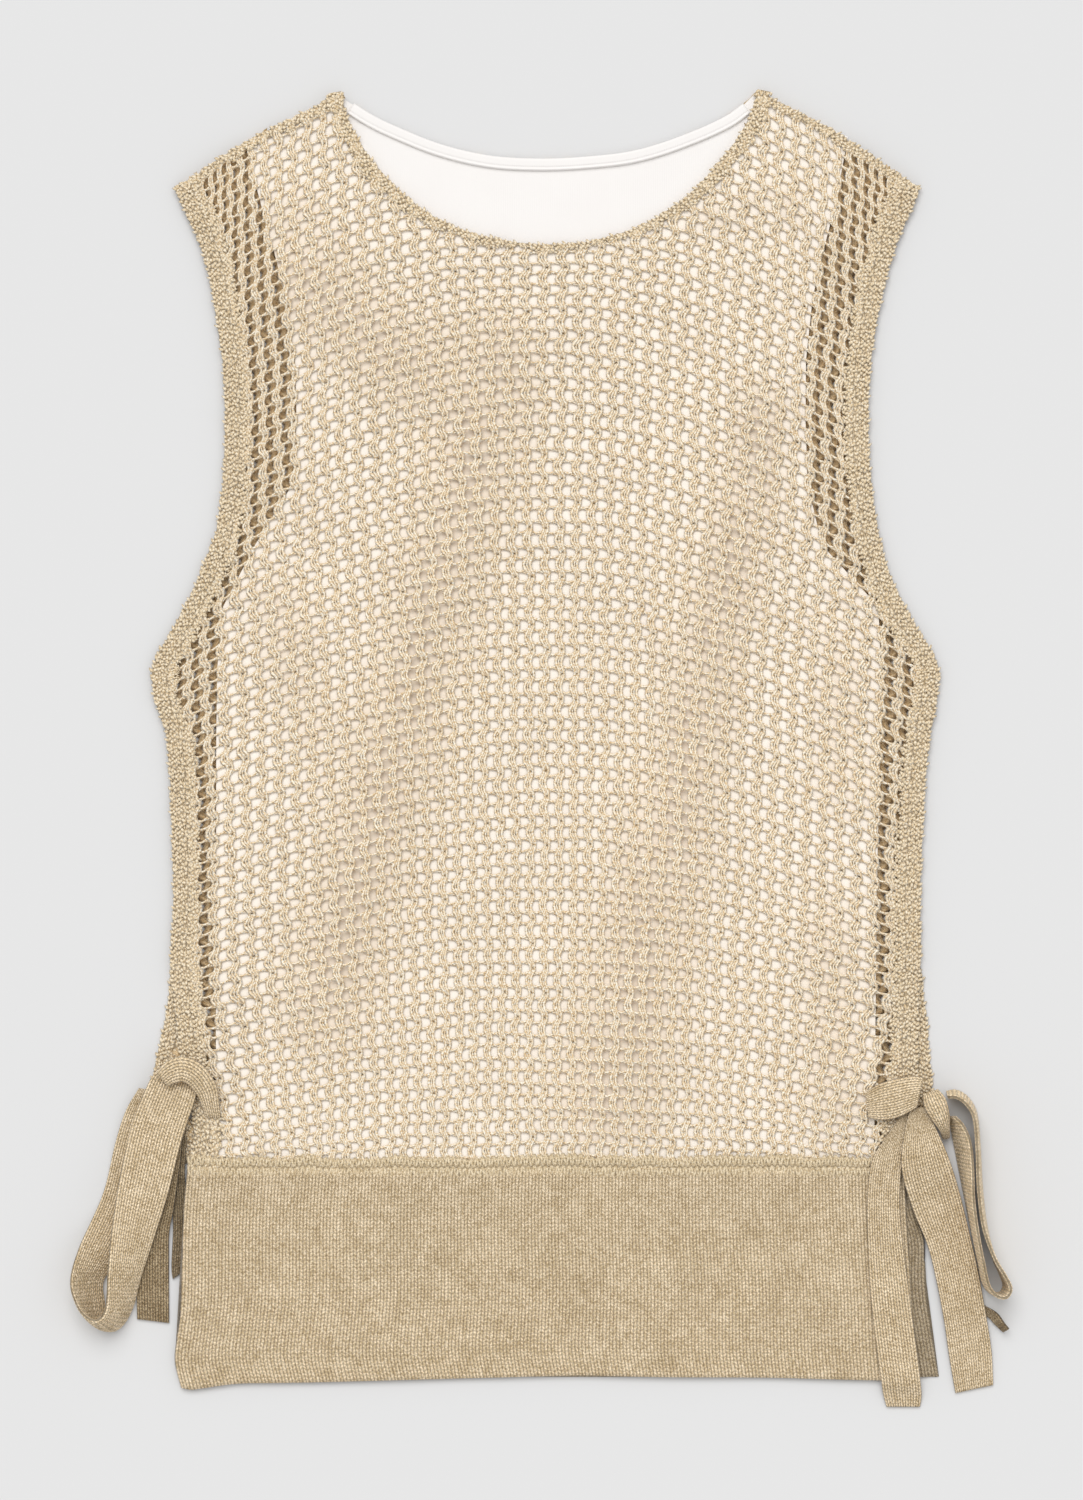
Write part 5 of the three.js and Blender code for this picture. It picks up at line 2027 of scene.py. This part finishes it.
@dataclass
class Studio:
    """Pale floor, soft light and a camera straight above."""

    view_height: float = 0.750
    centre: tuple[float, float] = (0.14 * MM, -0.75 * MM)
    camera_height: float = 2.5
    floor_size: float = 6.0
    cloth_level: float = 6 * MM
    sky: float = 0.62
    key: float = 1.71
    key_place: tuple[float, float, float] = (-0.18, 0.82, 1.5)
    key_spread: float = 40.0
    fill: float = 0.20
    fill_place: tuple[float, float, float] = (0.5, -0.2, 1.5)
    fill_spread: float = 70.0

    def build(self) -> None:
        """Set everything up."""
        self._floor()
        self._camera()
        self._lights()
        scene = bpy.context.scene
        scene.view_settings.view_transform = "Standard"

    def _floor(self) -> None:
        """Lay the floor."""
        mesh = bmesh.new()
        bmesh.ops.create_grid(mesh, x_segments=8, y_segments=8, size=self.floor_size / 2)
        data = bpy.data.meshes.new("floor")
        mesh.to_mesh(data)
        mesh.free()
        floor = bpy.data.objects.new("floor", data)
        bpy.context.scene.collection.objects.link(floor)
        data.materials.append(PaleFloor().material())

    def _camera(self) -> None:
        """Hang the camera over the top."""
        data = bpy.data.cameras.new("camera")
        data.sensor_width = 36.0
        data.lens = data.sensor_width * (self.camera_height - self.cloth_level) / self.view_height
        camera = bpy.data.objects.new("camera", data)
        camera.location = (*self.centre, self.camera_height)
        bpy.context.scene.collection.objects.link(camera)
        bpy.context.scene.camera = camera

    def _lights(self) -> None:
        """A broad key from beyond the neck, and an even sky."""
        world = bpy.data.worlds.new("sky")
        bpy.context.scene.world = world
        world.use_nodes = True
        background = world.node_tree.nodes["Background"]
        background.inputs["Color"].default_value = (1.0, 1.0, 1.0, 1.0)
        background.inputs["Strength"].default_value = self.sky
        self._sun("key", self.key_place, self.key, self.key_spread)
        self._sun("fill", self.fill_place, self.fill, self.fill_spread)

    @staticmethod
    def _sun(name: str, place: tuple, power: float, spread: float) -> None:
        """Hang one broad far lamp that shines towards the cloth.

        Args:
            name: The lamp's name.
            place: Where it shines from.
            power: Its strength.
            spread: Its width in the sky, in degrees.
        """
        data = bpy.data.lights.new(name, "SUN")
        data.energy = power
        data.angle = math.radians(spread)
        lamp = bpy.data.objects.new(name, data)
        lamp.location = place
        lamp.rotation_euler = (-Vector(place)).to_track_quat("-Z", "Y").to_euler()
        bpy.context.scene.collection.objects.link(lamp)


# ------------------------------------------------------------------------------------------------
# The garment
# ------------------------------------------------------------------------------------------------


class KnitTop:
    """The whole top: nets, margins, hem bands, lining and ties."""

    NO_PAINTED_SHADE = (-2.0, -1.0)      # below every rise, so that the deep colour never shows
    NET_SEED = 21
    COLUMNS = (-26, -8, 8, 26)  # where the front net's three strips meet
    NET_HEIGHT = 0.540

    def __init__(self) -> None:
        """Make the finishes and measure the panels."""
        self.yarn = MarledYarn().material()
        # The margin yarn's deep colour is painted shade low in its stitches.
        self.margin_yarn = MarledYarn(
            "margin_yarn", deep_shade=shade(190, 162, 118), gold=shade(210, 183, 140),
            tan=shade(233, 213, 178), cream=shade(249, 236, 212), shade_below=(0.2, 0.5),
        ).material()
        self.seam_yarn = MarledYarn(
            "seam_yarn", deep_shade=shade(166, 142, 104), gold=shade(190, 166, 126),
            tan=shade(214, 194, 158), cream=shade(240, 222, 190), shade_below=self.NO_PAINTED_SHADE,
        ).material()
        # The ground under the border stitches is painted a little darker, as shade between the
        # stitches.
        self.border = PlainKnit("border_knit", 2.5 * MM, 2.0 * MM, brightness=0.92).material()
        self.band = PlainKnit("band_knit", 3.4 * MM, 2.0 * MM).material()
        # The back band is the band's knit painted darker: painted shade under the front band and
        # ties.
        self.shaded_back_band = PlainKnit("back_band_knit", 3.4 * MM, 2.0 * MM, brightness=0.6).material()
        # Darker, warmer yarn colours: painted shade on the ties' stretches under the bows.
        shaded = {"gold": shade(116, 92, 56), "tan": shade(158, 135, 99),
                  "cream": shade(212, 190, 154)}
        self.ties = {tone: PlainKnit(f"tie_knit_{tone.name.lower()}", 2.9 * MM, 1.9 * MM,
                                     **(shaded if tone.painted_in_shade else {}), hollow=0.32,
                                     brightness=tone.value).material()
                     for tone in Tone}
        self.jersey = Jersey().material()
        # The front lining is painted a warmer white: painted light, the warm glow the yarn passes
        # on to it.
        self.warm_jersey = Jersey("warm_jersey", colour=shade(249, 242, 232),
                                  shadow=shade(246, 238, 227)).material()
        # The back net's yarn is the same yarn painted darker and warmer, as shade under the front.
        self.shaded_back_yarn = MarledYarn(
            "shaded_back_yarn", deep_shade=shade(150, 112, 64), gold=shade(206, 170, 118),
            tan=shade(226, 194, 146), cream=shade(244, 218, 176), shade_below=self.NO_PAINTED_SHADE,
        ).material()
        self.front = Panel("front_net", Corners())
        self.back = Panel("back_net", Corners(seam_left=(-184.3, 110), seam_right=(185.8, 110),
                                              neck_left=(-102.3, 645.5), neck_right=(105.3, 647.5)))

    def build(self) -> None:
        """Build every piece, from the floor up."""
        self._back()
        self._lining()
        self._front()
        self._bands()
        self._ties()

    def _back(self) -> None:
        """The back net and its margins."""
        drape = Drape(self.back.lie, self.NET_SEED)
        strip = NetPanel("net_back", self.back, drape, NetStitch().plain(), self.COLUMNS[0],
                         self.COLUMNS[-1],
                         offset=(0.614, ROW / 2), side_margin=8 * MM)
        net = strip.build(self.shaded_back_yarn)
        pieces = self._borders("back", self.back)
        flat = (0.398, self.NET_HEIGHT)
        self._sheet(net, "back_net", Slot.NET, flat, strip.area(), ["floor"], pieces)

    def _front(self) -> None:
        """The front net in three strips, and its margins."""
        drape = Drape(self.front.lie, self.NET_SEED)
        pieces = self._borders("front", self.front)
        lining = Line(Rim("front_lining").ring, closed=True)
        places = ("left", "middle", "right")
        for place, first, last in zip(places, self.COLUMNS, self.COLUMNS[1:]):
            strip = NetPanel(f"net_front_{place}", self.front, drape, NetStitch().full(), first,
                             last, lining=lining)
            net = strip.build(self.yarn)
            width = 0.150 if place != "middle" else 0.125
            self._sheet(net, "front_net", Slot.NET, (width, self.NET_HEIGHT), strip.area(),
                        ["front_lining"], pieces if place == "middle" else [])

    def _borders(self, side: str, panel: Panel) -> list[bpy.types.Object]:
        """Build the plain knit along the open edges of one panel.

        Args:
            side: Front or back.
            panel: That panel's edges.

        Returns:
            The pieces that are cloth of the panel.
        """
        width = ((0.0, 14.5), (0.30, 13.0), (0.50, 12.0), (0.80, 12.5), (1.0, 14.0))
        flipped = tuple((1 - share, size) for share, size in reversed(width))
        neck = ((0.0, 7.5), (0.16, 7.0), (0.30, 4.6), (0.42, 2.6), (0.58, 2.6), (0.70, 4.6),
                (0.84, 7.0), (1.0, 7.5))
        shoulder = ((0.0, 4.6), (1.0, 4.6))
        made = []
        front = side == "front"
        strips = [
            Border(f"{side}_left_margin", panel.left, panel.lie, flipped, upward=False, seed=41,
                   stitched=(0.0, 1.0) if front else (0.76, 1.0)),
            Border(f"{side}_right_margin", panel.right, panel.lie, width, seed=43,
                   stitched=(0.0, 1.0) if front else (0.0, 0.24)),
            Border(f"{side}_left_shoulder", panel.shoulder_left, panel.lie, shoulder, tiles=1,
                   scallop=1.1 * MM, seed=45),
            Border(f"{side}_right_shoulder", panel.shoulder_right, panel.lie, shoulder, tiles=1,
                   scallop=1.1 * MM, upward=False, seed=47),
        ]
        if front:
            strips.append(Border("front_neck_edge", panel.neck, panel.lie, neck, tiles=1, seed=49))
            made.append(SeamRow(panel).build(self.seam_yarn))
        for strip in strips:
            made.append(strip.ground(self.border))
            if front or "margin" in strip.name:
                made.append(strip.stitches(self.margin_yarn))
        return made

    def _bands(self) -> None:
        """The hem bands."""
        back = HemBand("hem_back", "back_hem_band", (-178.8, 5), (196.8, 5), (-178.8, 110),
                       (184.3, 110), steps_per_wale=2, steps_per_course=1,
                       folds=((183.0, 2.2, 1.6), (189.0, 2.0, 1.3)))
        front = HemBand("hem_front", "front_hem_band", (-183.5, 0), (185.2, 3.2),
                        (-179.8, 110), (179.3, 110))
        for band, finish, rests in ((back, self.shaded_back_band, "floor"),
                                    (front, self.band, "back_hem_band")):
            piece = band.build(finish)
            self._sheet(piece, band.node, Slot.PLAIN, (0.372, 0.110), None, [rests], [])

    def _lining(self) -> None:
        """The jersey lining and its bound neck."""
        binding = NeckBinding().build(self.jersey)
        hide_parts("neck_binding")
        for seed, node, rests in ((51, "back_lining", "back_net"),
                                  (53, "front_lining", "back_lining")):
            finish = self.warm_jersey if node == "front_lining" else self.jersey
            over = self.front.lie if node == "front_lining" else None
            piece = LiningPanel(node, seed, over).build(finish)
            area = Rim(node).area
            self._sheet(piece, node, Slot.LINING, (0.335, self.NET_HEIGHT), area, [rests],
                        [binding] if node == "back_lining" else [])

    def _ties(self) -> None:
        """The bows."""
        for tie in TIES:
            piece = tie.build(self.ties[tie.tone])
            length = float(tie.stations()["walked"][-1])
            width = max(*(row[5] for row in tie.rows), NARROWEST_TIE) * MM
            self._sheet(piece, tie.name, Slot.PLAIN, (width, length), None, ["floor"], [])

    @staticmethod
    def _sheet(piece: bpy.types.Object, node: str, slot: Slot, flat: tuple[float, float],
               area: float | None, rests_on: list[str],
               with_pieces: list[bpy.types.Object]) -> None:
        """Log one piece of cloth's area as a share of its flat area, and hide its solid.

        Args:
            piece: The piece.
            node: The solid that it stands in for.
            slot: Not used.
            flat: Width and height of the flat sheet, in metres.
            area: Area of the sheet where it is cut to shape, in square metres.
            rests_on: Names of what it lies on.
            with_pieces: Not used.
        """
        surface = sum(face.area for face in piece.data.polygons) / 2
        LOG.info("%s: %.2f of its flat area", piece.name, surface / (area or flat[0] * flat[1]))
        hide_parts(node)
        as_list(rests_on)


def main() -> None:
    """Build the studio and the top."""
    logging.basicConfig(level=logging.INFO, format="%(message)s")
    Studio().build()
    KnitTop().build()


if __name__ == "__main__":
    main()
